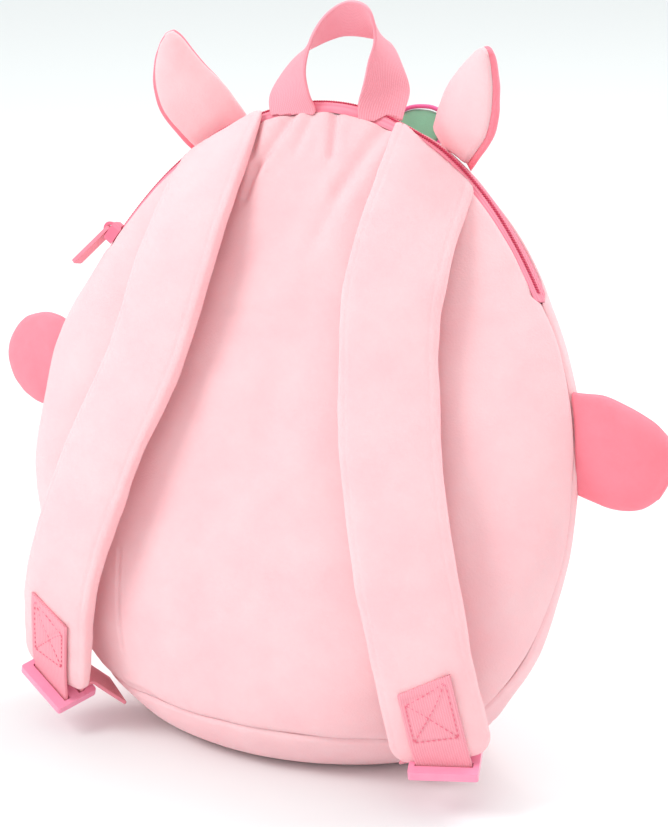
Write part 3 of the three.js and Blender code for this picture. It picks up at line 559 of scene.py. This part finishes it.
# The gathers and creases of the back: start and end (x, z), width and depth in millimetres
BACK_FOLDS = [
    ((-19, 286), (-31, 262), 2.6, 1.9),
    ((-31, 262), (-33, 250), 1.8, 1.1),
    ((3, 288), (6, 272), 2.2, 1.7),
    ((-36, 281), (-35, 268), 1.9, 1.1),
    ((-8, 289), (-12, 272), 2.4, 0.8),
    ((28, 283), (14, 256), 3.6, 1.6),
    ((14, 256), (8, 236), 4.0, 0.8),
    ((-66, 92), (-63, 44), 0.9, 0.55),
    ((-48, 204), (-8, 202), 3.0, 0.45),
    ((-66, 27), (-48, 25), 1.2, 1.0),
    ((-40, 250), (-60, 205), 7.0, 1.0),
    ((10, 215), (2, 150), 9.0, 1.0),
    ((-78, 150), (-95, 80), 6.0, 0.9),
    ((105, 150), (108, 70), 9.0, 0.8),
]


def build_bag():
    P, N, D = dress_back()
    back = sheet_mesh("plush_back_panel", P + N * D[..., None], plush, N, CLOTH_SHOWN)
    settle(back, "bag", "back_panel")
    P, edge = panel(True, BASE_BAND + SEAM_ROOM, 220, 340, ZIP_FRONT_TAPE)
    N = facing_out(grid_normals(P), P)
    D = 0.5 * ripple(P, 50, 8) + 0.15 * ripple(P, 18, 9) + seam_pinch(edge, P[..., 2])
    front = sheet_mesh("plush_front_shell", P + N * D[..., None], plush, N, CLOTH_SHOWN)
    settle(front, "bag", "front_shell")
    build_base()


def build_base():
    """The base band with the floor panel inside it."""
    rows, cols = 34, 420
    levels = np.linspace(0, BASE_BAND, rows)
    P = np.stack([resample(skin_point(z, np.linspace(0, 2 * math.pi, 900)), cols + 1)[0][:-1] for z in levels])
    inner = [P[0] * np.array([part, part, 0]) for part in (0.03, 0.2, 0.4, 0.6, 0.8, 0.93)]
    P = np.concatenate([np.stack(inner), P])
    N = facing_out(ring_normals(P), P)
    z = P[..., 2]
    D = (0.35 * ripple(P, 30, 12) * smooth(z, 2, 9) - 1.1 * np.exp(-((z - BASE_BAND) / 1.3) ** 2)
         + 0.3 * np.exp(-((z - 13) / 5) ** 2))
    flat = P.reshape(-1, 3) + (N * D[..., None]).reshape(-1, 3)
    flat[:, 2] = np.maximum(flat[:, 2], 0.0)
    faces = grid_faces(len(P), cols, closed=True)
    wound = (ring_normals(P) * N).sum() < 0
    base = add_mesh("plush_base", flat, faces, plush, flip=wound)
    add_wall(base, CLOTH_SHOWN)
    settle(base, "bag", "base_gusset")


def outside(P, room=0.3):
    """If points are out of the bag's skin by at least a distance."""
    half, back, ridge, front, square = section(np.clip(P[..., 2], 0, BODY_HEIGHT - 0.01))
    y = P[..., 1] - ridge
    behind = y < 0
    power = np.where(behind, square, FRONT_SQUARE)
    reach = np.where(behind, ridge - back, front - ridge)
    size = ((np.abs(P[..., 0]) / half) ** power + (np.abs(y) / reach) ** power) ** (1 / power)
    radius = np.hypot(P[..., 0], y) / np.maximum(size, 1e-6)
    return ((size - 1) * radius > room) | (P[..., 2] > BODY_HEIGHT + room)


def clipped_starts(surface, sides, keep, samples=500):
    """For each lengthwise line of a surface, the share from which it stays where keep says."""
    t = np.linspace(0, 1, samples)
    T, S = np.meshgrid(t, sides, indexing="ij")
    good = keep(surface(T, S))
    bad = np.where(~good, np.arange(samples)[:, None], -1).max(0)
    return t[np.minimum(bad + 1, samples - 2)]


def clipped_grid(surface, sides, rows, keep, ease=1.0):
    start = clipped_starts(surface, sides, keep)
    t = (np.linspace(0, 1, rows) ** ease)[:, None]
    share = start[None, :] + (1 - start[None, :]) * t
    return surface(share, np.broadcast_to(sides, share.shape)), share


# Shoulder straps
def bag_point(across, depth, height):
    return np.stack([across * BODY_WIDTH / 2, depth * BODY_DEPTH, height * BODY_HEIGHT], -1)


def strap_station(share):
    share = np.asarray(share, float)
    at = lambda s: bag_point(*(column(STRAP_LINE, k, s) for k in range(3)))
    down = unit(at(np.minimum(share + 0.01, 1)) - at(np.maximum(share - 0.01, 0)))
    yaw = np.radians(column(STRAP_LINE, 3, share))
    fall = -np.tan(np.radians(column(STRAP_LINE, 4, share)))
    level = unit(np.stack([np.cos(yaw), np.sin(yaw), fall], -1))
    outward = unit(np.cross(down, level))
    wide = unit(np.cross(outward, down))
    return at(share), wide, down, outward


STRAP_SQUARE = 2.8
CAP_SHARE = 0.04


def strap_surface(place, angle):
    """The padded strap: places up to 1 - CAP_SHARE run down it, the rest round its lower end."""
    body = 1 - CAP_SHARE
    share = np.clip(place / body, 0, 1)
    turn = np.clip((place - body) / CAP_SHARE, 0, 1) * math.pi / 2
    point, wide, down, outward = strap_station(share)
    inset = STRAP_CORNER * (1 - np.cos(turn * 0.9))
    half = column(STRAP_LINE, 5, share) * STRAP_WIDTH / 2 - inset
    sink = column(STRAP_LINE, 6, share) * STRAP_THICKNESS / 2
    thick = sink * (1 - 0.35 * np.sin(turn) ** 3)
    beyond = STRAP_CORNER * np.sin(turn)
    across = half * spow(np.cos(angle), 2 / STRAP_SQUARE)
    out = thick * spow(np.sin(angle), 2 / STRAP_SQUARE)
    middle = point - outward * sink[..., None] + down * beyond[..., None]
    return middle + wide * across[..., None] + outward * out[..., None]


def build_strap(name, side):
    sides = np.linspace(0, 2 * math.pi, 112, endpoint=False)
    keep = lambda P: P[..., 1] < seam_y(P[..., 2], -ZIP_BACK_TAPE - 0.5)
    P, place = clipped_grid(strap_surface, sides, 230, keep)
    N = ring_normals(P)
    share = np.clip(place / (1 - CAP_SHARE), 0, 1)
    half = column(STRAP_LINE, 5, share) * STRAP_WIDTH / 2
    across = np.abs(half * spow(np.cos(sides), 2 / STRAP_SQUARE))
    face = np.sin(sides)[None, :] > 0.02
    end = np.clip((place - 1 + CAP_SHARE) / CAP_SHARE, 0, 1)
    stitch = np.exp(-((across - half + 4.2) / 0.7) ** 2) * (1 - smooth(end, 0, 0.4))
    D = -0.25 * stitch * face + 0.35 * ripple(P, 40, 21 + side) + 0.14 * ripple(P, 14, 23 + side)
    D -= 0.6 * np.exp(-((across - half) / 0.9) ** 2)
    D += 0.5 * (1 - (across / half) ** 2) * face
    N = N if (N * (P - P.mean(1, keepdims=True))).sum() > 0 else -N
    P = P + N * D[..., None]
    if side < 0:
        P = P * MIRROR
    obj = tube_mesh("padded_strap_" + name, P, plush)
    settle(obj, "bag", "shoulder_strap_" + name)


# Webbing
RIBBON_ACROSS = np.concatenate([np.linspace(-0.96, 0.96, 25), [0.99, 1.0, 0.99],
                                np.linspace(0.96, -0.96, 25), [-0.99, -1.0, -0.99]])
RIBBON_OUT = np.concatenate([np.ones(25), [0.6, 0, -0.6], -np.ones(25), [-0.6, 0, 0.6]])


def trim_lines(P, uv, good, middle):
    """Cuts each lengthwise line to its stretch about the middle that is good."""
    rows = len(P)
    index = np.arange(rows)[:, None]
    at = int(rows * middle)
    low = np.where(~good & (index < at), index, -1).max(0) + 1
    high = np.where(~good & (index >= at), index, rows).min(0) - 1
    place = low + (high - low) * np.linspace(0, 1, rows)[:, None]
    whole = np.minimum(place.astype(int), rows - 2)
    part = (place - whole)[..., None]
    lines = np.arange(P.shape[1])[None, :]
    pick = lambda field: field[whole, lines] * (1 - part) + field[whole + 1, lines] * part
    return pick(P), pick(uv)


def ribbon(name, stations, thick, material, mirror, step=0.8, blend=6, dent=None, keep=None, middle=0.5):
    """Flat webbing through stations (point, wide, outward, width)."""
    point, wide, outward, width = (np.array(part, float) for part in zip(*stations))
    length = np.concatenate([[0], np.cumsum(np.linalg.norm(np.diff(point, axis=0), axis=1))])
    count = int(length[-1] / step)
    s = np.linspace(0, length[-1], count)
    line = lambda part: np.stack([np.interp(s, length, part[:, k]) for k in range(part.shape[1])], 1)
    parts = [line(point), line(wide), line(outward), line(width[:, None])]
    for _ in range(blend):
        for k, part in enumerate(parts):
            inner = (part[:-2] + 2 * part[1:-1] + part[2:]) / 4
            parts[k] = np.concatenate([part[:1], inner, part[-1:]])
    point, wide, outward, width = parts
    along = unit(np.gradient(point, axis=0))
    wide = unit(wide)
    outward = unit(outward - along * (outward * along).sum(1, keepdims=True))
    A, O = RIBBON_ACROSS[None, :, None], RIBBON_OUT[None, :, None]
    P = point[:, None] + wide[:, None] * A * width[:, None] / 2 + outward[:, None] * O * thick / 2
    u = A[..., 0] * width / 2
    uv = np.stack([np.broadcast_to(u, P.shape[:2]), np.broadcast_to(s[:, None], P.shape[:2])], -1)
    if dent is not None:
        P = P + outward[:, None] * dent(uv[..., 0], uv[..., 1], O[..., 0])[..., None]
    if keep is not None:
        P, uv = trim_lines(P, uv, keep(P), middle)
    if mirror:
        P = P * MIRROR
    return tube_mesh(name, P, material, uv=uv * MM)


def matrix_of(x, y, z, origin):
    M = np.eye(4)
    M[:3, 0], M[:3, 1], M[:3, 2], M[:3, 3] = x, y, z, origin
    return M


def turn_matrix(axis, degrees):
    a, M = math.radians(degrees), np.eye(4)
    i, j = [(1, 2), (2, 0), (0, 1)][axis]
    M[i, i] = M[j, j] = math.cos(a)
    M[i, j], M[j, i] = -math.sin(a), math.sin(a)
    return M


def buckle_frame(roll, tip, drop):
    point, wide, down, outward = strap_station(1.0)
    M = matrix_of(wide, -down, outward, point)
    shift = np.eye(4)
    shift[1, 3] = -STRAP_CORNER - drop
    return M @ shift @ turn_matrix(2, roll) @ turn_matrix(0, -tip)


def frame_stations(M, places):
    """Stations at places (back, up) of a frame."""
    made = []
    for k, (back, up) in enumerate(places):
        a, b = places[max(k - 1, 0)], places[min(k + 1, len(places) - 1)]
        along = unit(np.array([0, b[0] - a[0], b[1] - a[1]], float))
        outward = M[:3, :3] @ [0, along[2], -along[1]]
        made.append(((M @ [0, back, up, 1])[:3], M[:3, 0], outward, WEBBING_WIDTH))
    return made


PATCH_SHARE = 0.092
PATCH_SLANT = 7
PATCH_LIFT = 0.7
BOTTOM_CORNER = dict(at=(0.6, -0.29, 0.045), turn=38, rise=0.15)


def stitch_field(u, v, length):
    """How near a place of the patch is to its box and cross of stitches, 0 to 1."""
    half, low, high = WEBBING_WIDTH / 2 - 2.6, 4.5, length - 2.5
    inside = (np.abs(u) < half + 1) & (v > low - 1) & (v < high + 1)
    box = np.minimum(np.abs(np.abs(u) - half), np.minimum(np.abs(v - low), np.abs(v - high)))
    slope = (high - low) / (2 * half)
    middle = (low + high) / 2
    cross = np.abs(np.abs(v - middle) - np.abs(u) * slope) / math.hypot(1, slope)
    return np.where(inside, np.exp(-(np.minimum(box, cross) / 0.7) ** 2), 0)


def sew_patch(name, stations, patch, mirror):
    """Stitches round the patch and crosswise over it."""
    half, low, high = WEBBING_WIDTH / 2 - 2.6, 4.5, patch - 2.5
    slant = PATCH_SLANT / WEBBING_WIDTH
    corners = [(-half, low + half * slant), (half, low - half * slant), (half, high), (-half, high)]
    lines = [(corners[k], corners[(k + 1) % 4]) for k in range(4)]
    lines += [(corners[0], corners[2]), (corners[1], corners[3])]
    point, wide, outward = (np.array(part, float) for part in list(zip(*stations[:14]))[:3])
    run = np.concatenate([[0], np.cumsum(np.linalg.norm(np.diff(point, axis=0), axis=1))])

    def place(u, v):
        at = lambda part: np.stack([np.interp(v, run, part[:, k]) for k in range(3)], -1)
        level = unit(at(wide))
        up = unit(at(outward))
        return at(point) + level * np.asarray(u)[..., None] + up * (WEBBING / 2 - 0.12), up

    centres, ways, ups = [], [], []
    for a, b in lines:
        a, b = np.array(a), np.array(b)
        count = int(np.linalg.norm(b - a) / 2.4)
        t = (np.arange(count) + 0.5) / count
        uv = a + (b - a) * t[:, None]
        here, up = place(uv[:, 0], uv[:, 1])
        there, _ = place(uv[:, 0] + (b - a)[0] * 0.02, uv[:, 1] + (b - a)[1] * 0.02)
        centres.append(here)
        ways.append(unit(there - here))
        ups.append(up)
    centres, ways, ups = (np.concatenate(part) for part in (centres, ways, ups))
    if mirror:
        centres, ways, ups = (part * MIRROR for part in (centres, ways, ups))
    sewn = beads("patch_stitches_" + name, centres, ways, ups, (0.85, 0.24, 0.24), thread, 5, 6)
    settle(sewn, "bag")


def build_webbing(name, side, roll, tip, drop):
    mirror = side < 0
    stations = []
    for k in range(13):
        share = 1 - PATCH_SHARE * (1 - k / 12)
        point, wide, down, outward = strap_station(share)
        slant = PATCH_SLANT / WEBBING_WIDTH * max(0, 1 - k / 5)
        across = wide - down * slant
        width = WEBBING_WIDTH * np.linalg.norm(across)
        stations.append((point + outward * (PATCH_LIFT + 0.35), unit(across), outward, width))
    patch = sum(np.linalg.norm(b[0] - a[0]) for a, b in zip(stations, stations[1:]))
    halfway = buckle_frame(roll * 0.5, 0, -STRAP_CORNER / 2)
    stations.append(((halfway @ [0, 0, PATCH_LIFT, 1])[:3], halfway[:3, 0], halfway[:3, 2], WEBBING_WIDTH))
    M = buckle_frame(roll, tip, drop)
    stations += frame_stations(M, [(0, BUCKLE_THICKNESS / 2), (0, -BUCKLE_THICKNESS / 2 - WEBBING)])
    dent = lambda u, v, out: -0.45 * stitch_field(u, v, patch) * (out > 0)
    upper = ribbon("upper_webbing_" + name, stations, WEBBING, webbing, mirror, dent=dent, blend=8)
    settle(upper, "bag", "strap_webbing_" + name)
    sew_patch(name, stations, patch, mirror)
    middle = BUCKLE_BAR + BUCKLE_SLOT
    rear = middle + BUCKLE_SLOT / 2 + BUCKLE_BAR
    half = BUCKLE_THICKNESS / 2
    stations = frame_stations(M, [(middle, -half - WEBBING), (middle, 0),
                                  (middle + WEBBING / 2, half + WEBBING), (rear, half + WEBBING)])
    start = stations[-1]
    corner = bag_point(*BOTTOM_CORNER["at"])
    turn = math.radians(BOTTOM_CORNER["turn"])
    last_wide = np.array([math.cos(turn), math.sin(turn), BOTTOM_CORNER["rise"]])
    along = unit(corner - start[0])
    for k in range(1, 9):
        share = k / 8
        wide = unit(start[1] * (1 - share) + last_wide * share)
        point = start[0] * (1 - share) + corner * share
        stations.append((point, wide, unit(np.cross(along, wide)), WEBBING_WIDTH))
    keep = lambda P: outside(P, PIECE_ROOM)
    lower = ribbon("corner_webbing_" + name, stations, WEBBING, webbing, mirror, blend=3, keep=keep, middle=0.4)
    settle(lower, "bag", "lower_webbing_" + name)


# Carry handle
def build_handle():
    foot = np.array([0, 25.5, 286])
    scale = np.array([HANDLE_SPAN, WEBBING_WIDTH, HANDLE_RISE])
    share = np.linspace(0, 1, 200)
    edges = np.stack([column(HANDLE_EDGES, k, share) for k in range(6)], 1)
    outer, inner = edges[:, :3] * scale + foot, edges[:, 3:] * scale + foot
    along = unit(np.gradient(outer + inner, axis=0))
    wide = unit(inner - outer)
    outward = unit(np.cross(along, wide))
    width = np.linalg.norm(inner - outer, axis=1)
    stations = list(zip((outer + inner) / 2, wide, outward, width))
    keep = lambda P: outside(P, -0.6)
    handle = ribbon("handle_webbing", stations, WEBBING, webbing, False, step=0.7, blend=2, keep=keep)
    settle(handle, "bag", "carry_handle")


# Ears, arms and crest
def side_matrix(side, at, turns):
    x, y, z = turns
    M = turn_matrix(2, z) @ turn_matrix(1, y) @ turn_matrix(0, x)
    M[:3, 3] = bag_point(*np.array(at))
    return np.diag([side, 1, 1, 1]) @ M


def flap_parts(rows, size, share, bend=1):
    """Half width, half thickness, bow and height of a flap at a share; its tip is the last TIP_SHARE."""
    length, width, thickness = size
    body = np.clip(share / (1 - TIP_SHARE), 0, 1)
    tip = np.clip((share - (1 - TIP_SHARE)) / TIP_SHARE, 0, 1) * math.pi / 2
    half = column(rows, 1, body) * width / 2 * np.cos(tip)
    deep = column(rows, 2, body) * thickness / 2 * np.cos(tip)
    bow = column(rows, 3, body) * width * bend
    along = (column(rows, 0, body) + (1 - rows[-1][0]) * np.sin(tip)) * length
    return half, deep, bow, along


def flap_surface(rows, size, matrix, bend=1):
    """A stuffed flap as a function of share and angle."""
    def at(share, angle):
        half, deep, bow, along = flap_parts(rows, size, share, bend)
        P = np.stack([half * np.cos(angle) + bow, deep * np.sin(angle), along], -1)
        return P @ matrix[:3, :3].T + matrix[:3, 3]
    return at


def build_ear(name, side, at, turns, bend):
    M = side_matrix(side, at, turns)
    size = (EAR_LENGTH, EAR_WIDTH, EAR_THICKNESS)
    seam = EAR_SEAM * EAR_THICKNESS / math.cos(EAR_SEAM_TURN)
    skin = flap_surface(EAR_SECTIONS, size, M, bend)
    arc = np.linspace(0, 1, 61)
    for part, material, sign in (("back", plush, -1), ("front", deep_plush, 1)):
        def surface(share, side_place, sign=sign):
            half, deep, bow, _ = flap_parts(EAR_SECTIONS, size, share, bend)
            cuts = []
            for reach in (half, -half):
                y = seam - math.tan(EAR_SEAM_TURN) * (bow + reach) + sign * 0.12
                cuts.append(np.arcsin(np.clip(y / np.maximum(deep, 1e-6), -0.9, 0.9)))
            begin, end = cuts[0], math.pi - cuts[1]
            if sign < 0:
                begin, end = end, 2 * math.pi + begin
            return skin(share, begin + (end - begin) * side_place)
        keep = lambda P: outside(P, PIECE_ROOM)
        P, share = clipped_grid(surface, arc, 120, keep, ease=0.9)
        N = grid_normals(P)
        centre = M[:3, 3] + M[:3, 2] * EAR_LENGTH * 0.5
        middle, lean = P.mean((0, 1)) - centre, N.mean((0, 1))
        if ((middle + lean) ** 2).sum() < (middle ** 2).sum():
            N = -N
        step = np.linalg.norm(np.diff(P, axis=1), axis=2)
        run = np.concatenate([np.zeros((len(P), 1)), np.cumsum(step, 1)], 1)
        edge = np.minimum(run, run[:, -1:] - run)
        tip = (1 - share) * EAR_LENGTH
        D = -0.8 * np.exp(-(edge / 1.3) ** 2) + 0.3 * ripple(P, 26, 31 + side) + 0.1 * ripple(P, 9, 33 + side)
        D *= smooth(tip, 0, 6)
        P = P + N * D[..., None]
        # Each half is closed along the seam
        mix = np.linspace(0, 1, 11)[1:-1][None, :, None]
        closing = P[:, -1:] * (1 - mix) + P[:, :1] * mix
        ring = np.concatenate([P, closing], 1)
        obj = tube_mesh("ear_%s_plush_%s" % (part, name), ring, material)
        settle(obj, "bag", "ear_%s_%s" % (part, name))


def build_flap(piece, node_name, rows, size, M, material, pinch, seed):
    surface = flap_surface(rows, size, M)
    sides = np.linspace(0, 2 * math.pi, 96, endpoint=False)
    P, share = clipped_grid(surface, sides, 110, lambda P: outside(P, PIECE_ROOM), ease=0.9)
    N = ring_normals(P)
    inward = P.mean(1, keepdims=True) - P
    if (N * inward).sum() > 0:
        N = -N
    body = np.clip(share / (1 - TIP_SHARE), 0, 1)
    edge = column(rows, 1, body) * size[1] / 2 * np.minimum(np.abs(np.sin(sides)), 1)
    D = -pinch * np.exp(-(edge / 1.8) ** 2) + 0.4 * ripple(P, 30, seed) + 0.12 * ripple(P, 10, seed + 1)
    D *= smooth((1 - share) * size[0], 0, 4)
    settle(tube_mesh(piece, P + N * D[..., None], material), "bag", node_name)


def build_crest():
    M = side_matrix(**CREST)
    size = (CREST_LENGTH, CREST_WIDTH, CREST_THICKNESS)
    build_flap("crest_leaf_plush", "crest_leaf", CREST_SECTIONS, size, M, green, 0.3, 51)
    t = np.concatenate([np.linspace(0, 1, 80)[:-1], np.linspace(1, 0, 80)])
    half, _, _, along = flap_parts(CREST_SECTIONS, size, t)
    sign = np.concatenate([-np.ones(79), np.ones(80)])
    line = np.stack([sign * half, 0 * half, along], 1)
    line, _ = resample(line, 160)
    way = unit(np.gradient(line, axis=0))
    out = np.stack([-way[:, 2], 0 * way[:, 0], way[:, 0]], 1)
    if (out * (line - line.mean(0))).sum() < 0:
        out = -out
    ring = np.linspace(0, 2 * math.pi, 20, endpoint=False)
    P = (line[:, None] + out[:, None] * (1.0 + np.cos(ring))[None, :, None]
         + np.array([0, 1, 0]) * (2.6 * np.sin(ring))[None, :, None])
    P = P @ M[:3, :3].T + M[:3, 3]
    rows = outside(P, -0.8).all(1)
    settle(tube_mesh("crest_rim_plush", P[rows], magenta), "bag", "crest_rim")


# Zip
ZIP_TUCK = 2.0
ZIP_STITCHES = {"inner": 3.4, "outer": 5.6}


def seam_line(n, count):
    """The line over the crown where the seam plane moved by n meets the skin, left end to right end."""
    low = seam_base(n)
    high = top_of(n)
    z = low + (high - low) * (1 - (1 - np.linspace(0, 1, 700)) ** 2)
    right = skin_point(z, crossing(z, n)[0])
    left = right[:-1] * MIRROR
    return resample(np.concatenate([left, right[::-1]]), count)


def seam_base(n):
    """The height of the tape's end on the line moved by n, a little under the panels."""
    return ZIP_END - ZIP_TUCK - n * math.sin(SEAM_LEAN)


def along_line(line, length, places):
    s = np.linspace(0, length, len(line))
    return np.stack([np.interp(places, s, line[:, k]) for k in range(3)], -1)


def beads(name, centres, ways, ups, size, material, rings=6, spokes=8):
    """Many small rounded bars in one mesh: size is their half length, half width and half height."""
    lat = np.linspace(0, math.pi, rings)[:, None]
    lon = np.linspace(0, 2 * math.pi, spokes, endpoint=False)
    ball = np.stack([np.cos(lat) * np.ones(spokes), np.sin(lat) * np.cos(lon), np.sin(lat) * np.sin(lon)], -1)
    ball = ball.reshape(-1, 3) * np.array(size)
    axes = (ways, unit(np.cross(ups, ways)), ups)
    points = centres[:, None] + sum(ball[None, :, k:k + 1] * axis[:, None] for k, axis in enumerate(axes))
    faces = []
    for k in range(len(centres)):
        faces += grid_faces(rings, spokes, closed=True, start=k * rings * spokes)
    return add_mesh(name, points.reshape(-1, 3), faces, material)


def zip_frames(n, places, lift):
    """Centres on the skin along the line moved by n, with the directions along, across and out."""
    line, length = seam_line(n, 1200)
    beside, other = seam_line(n + 1, 1200)
    centre = along_line(line, length, places)
    ahead = unit(along_line(line, length, places + 0.5) - along_line(line, length, places - 0.5))
    over = unit(along_line(beside, other, places * other / length) - centre)
    up = unit(np.cross(over, ahead))
    up *= np.sign((up * (centre - np.array([0, 30, 150]))).sum(1, keepdims=True))
    over = unit(np.cross(ahead, up))
    over *= np.sign(over[:, 1:2])
    return centre + up * lift, ahead, over, up


def build_zip():
    across = np.linspace(-ZIP_BACK_TAPE + 0.05, ZIP_FRONT_TAPE - 0.05, 60)
    P = np.stack([seam_line(n, 420)[0] for n in across], 1)
    N = facing_out(grid_normals(P), P)
    length = seam_line(0, 10)[1]
    s = np.linspace(0, length, 420)
    uv = np.stack(np.broadcast_arrays(across[None, :], s[:, None]), -1)
    grooves = sum(0.22 * np.exp(-((across - n) / 0.35) ** 2) for n in ZIP_STITCHES.values())
    fold = 0.35 * np.exp(-((np.abs(across) - 1.5) / 0.6) ** 2)
    D = (-0.95 - grooves + fold)[None, :] + np.zeros((420, 1))
    tape = sheet_mesh("zip_tape_cloth", P + N * D[..., None], tape_cloth, N, TAPE_SHOWN, uv=uv * MM)
    settle(tape, "bag", "zipper_tape")
    places = np.arange(12, length - 4, 0.62)
    centre, ahead, over, up = zip_frames(0, places, -0.75)
    shift = np.where(np.arange(len(places)) % 2, 0.32, -0.32)[:, None]
    teeth = beads("zip_coil_teeth", centre + over * shift, over, up, (0.85, 0.36, 0.5), coil)
    settle(teeth, "bag", "zipper_teeth")
    for label, n in ZIP_STITCHES.items():
        places = np.arange(3, length - 2, 2.3)
        centre, ahead, over, up = zip_frames(n, places, -1.1)
        row = beads("zip_stitches_" + label, centre, ahead, up, (0.75, 0.2, 0.2), thread, 5, 6)
        settle(row, "bag")


def dress_hard(name, material, width):
    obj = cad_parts[name]
    obj.data.materials.clear()
    obj.data.materials.append(material)
    bevel = obj.modifiers.new("soft edges", "BEVEL")
    bevel.width = width * MM
    bevel.segments = 4
    bevel.limit_method = "ANGLE"
    bevel.angle_limit = math.radians(35)
    bevel.harden_normals = True


build_bag()
for name, turns in SIDES.items():
    build_strap(name, turns["side"])
    build_webbing(name, **turns)
    dress_hard("buckle_" + name, plastic, 1.1)
build_handle()
for name, ear in EARS.items():
    build_ear(name, **ear)
for name, arm in ARMS.items():
    build_flap("arm_plush_" + name, "arm_" + name, ARM_SECTIONS, (ARM_REACH, ARM_HEIGHT, ARM_THICKNESS),
               side_matrix(**arm), deep_plush, 0.9, 41 + arm["side"])
build_crest()
build_zip()
dress_hard("zipper_slider", metal_paint, 0.3)
dress_hard("zipper_pull", pull_plastic, 0.5)


# Camera, floor and light
CAMERA_AZIMUTH = math.radians(28)
CAMERA_ELEVATION = math.radians(16.3)
CAMERA_TARGET = (0, 0.031, 0.145)
CAMERA_DISTANCE = 1.1656
FLOOR_REACH = 6


def build_stage():
    level = math.cos(CAMERA_ELEVATION)
    away = Vector((math.sin(CAMERA_AZIMUTH) * level, -math.cos(CAMERA_AZIMUTH) * level,
                   math.sin(CAMERA_ELEVATION)))
    data = bpy.data.cameras.new("camera")
    data.sensor_fit = "VERTICAL"
    data.sensor_height = 24
    data.lens = 24 * 2480 / 827
    camera = bpy.data.objects.new("camera", data)
    camera.location = Vector(CAMERA_TARGET) + away * CAMERA_DISTANCE
    camera.rotation_euler = away.to_track_quat("Z", "Y").to_euler()
    bpy.context.scene.collection.objects.link(camera)
    bpy.context.scene.camera = camera
    mesh = bpy.data.meshes.new("floor")
    corners = [(x * FLOOR_REACH, y * FLOOR_REACH, 0) for x, y in ((-1, -1), (1, -1), (1, 1), (-1, 1))]
    mesh.from_pydata(corners, [], [(0, 1, 2, 3)])
    mesh.materials.append(new_material("floor", (0.83, 0.87, 0.87), 0.8)[0])
    floor = bpy.data.objects.new("floor", mesh)
    bpy.context.scene.collection.objects.link(floor)
    world = bpy.data.worlds.new("world")
    bpy.context.scene.world = world
    world.use_nodes = True
    sky = world.node_tree.nodes["Background"]
    sky.inputs["Color"].default_value = (1, 1, 1, 1)
    sky.inputs["Strength"].default_value = 0.95

    def area(name, place, aim, size, watts):
        light = bpy.data.lights.new(name, "AREA")
        light.size = size
        light.energy = watts
        obj = bpy.data.objects.new(name, light)
        obj.location = place
        obj.rotation_euler = (Vector(place) - Vector(aim)).to_track_quat("Z", "Y").to_euler()
        bpy.context.scene.collection.objects.link(obj)

    area("key", (-1.2, -1.3, 1.7), (0, 0, 0.15), 0.9, 22)
    area("top", (0.6, 1.0, 1.9), (0, 0, 0.15), 1.2, 20)
    bpy.context.scene.view_settings.view_transform = "Standard"


build_stage()
bpy.context.view_layer.update()
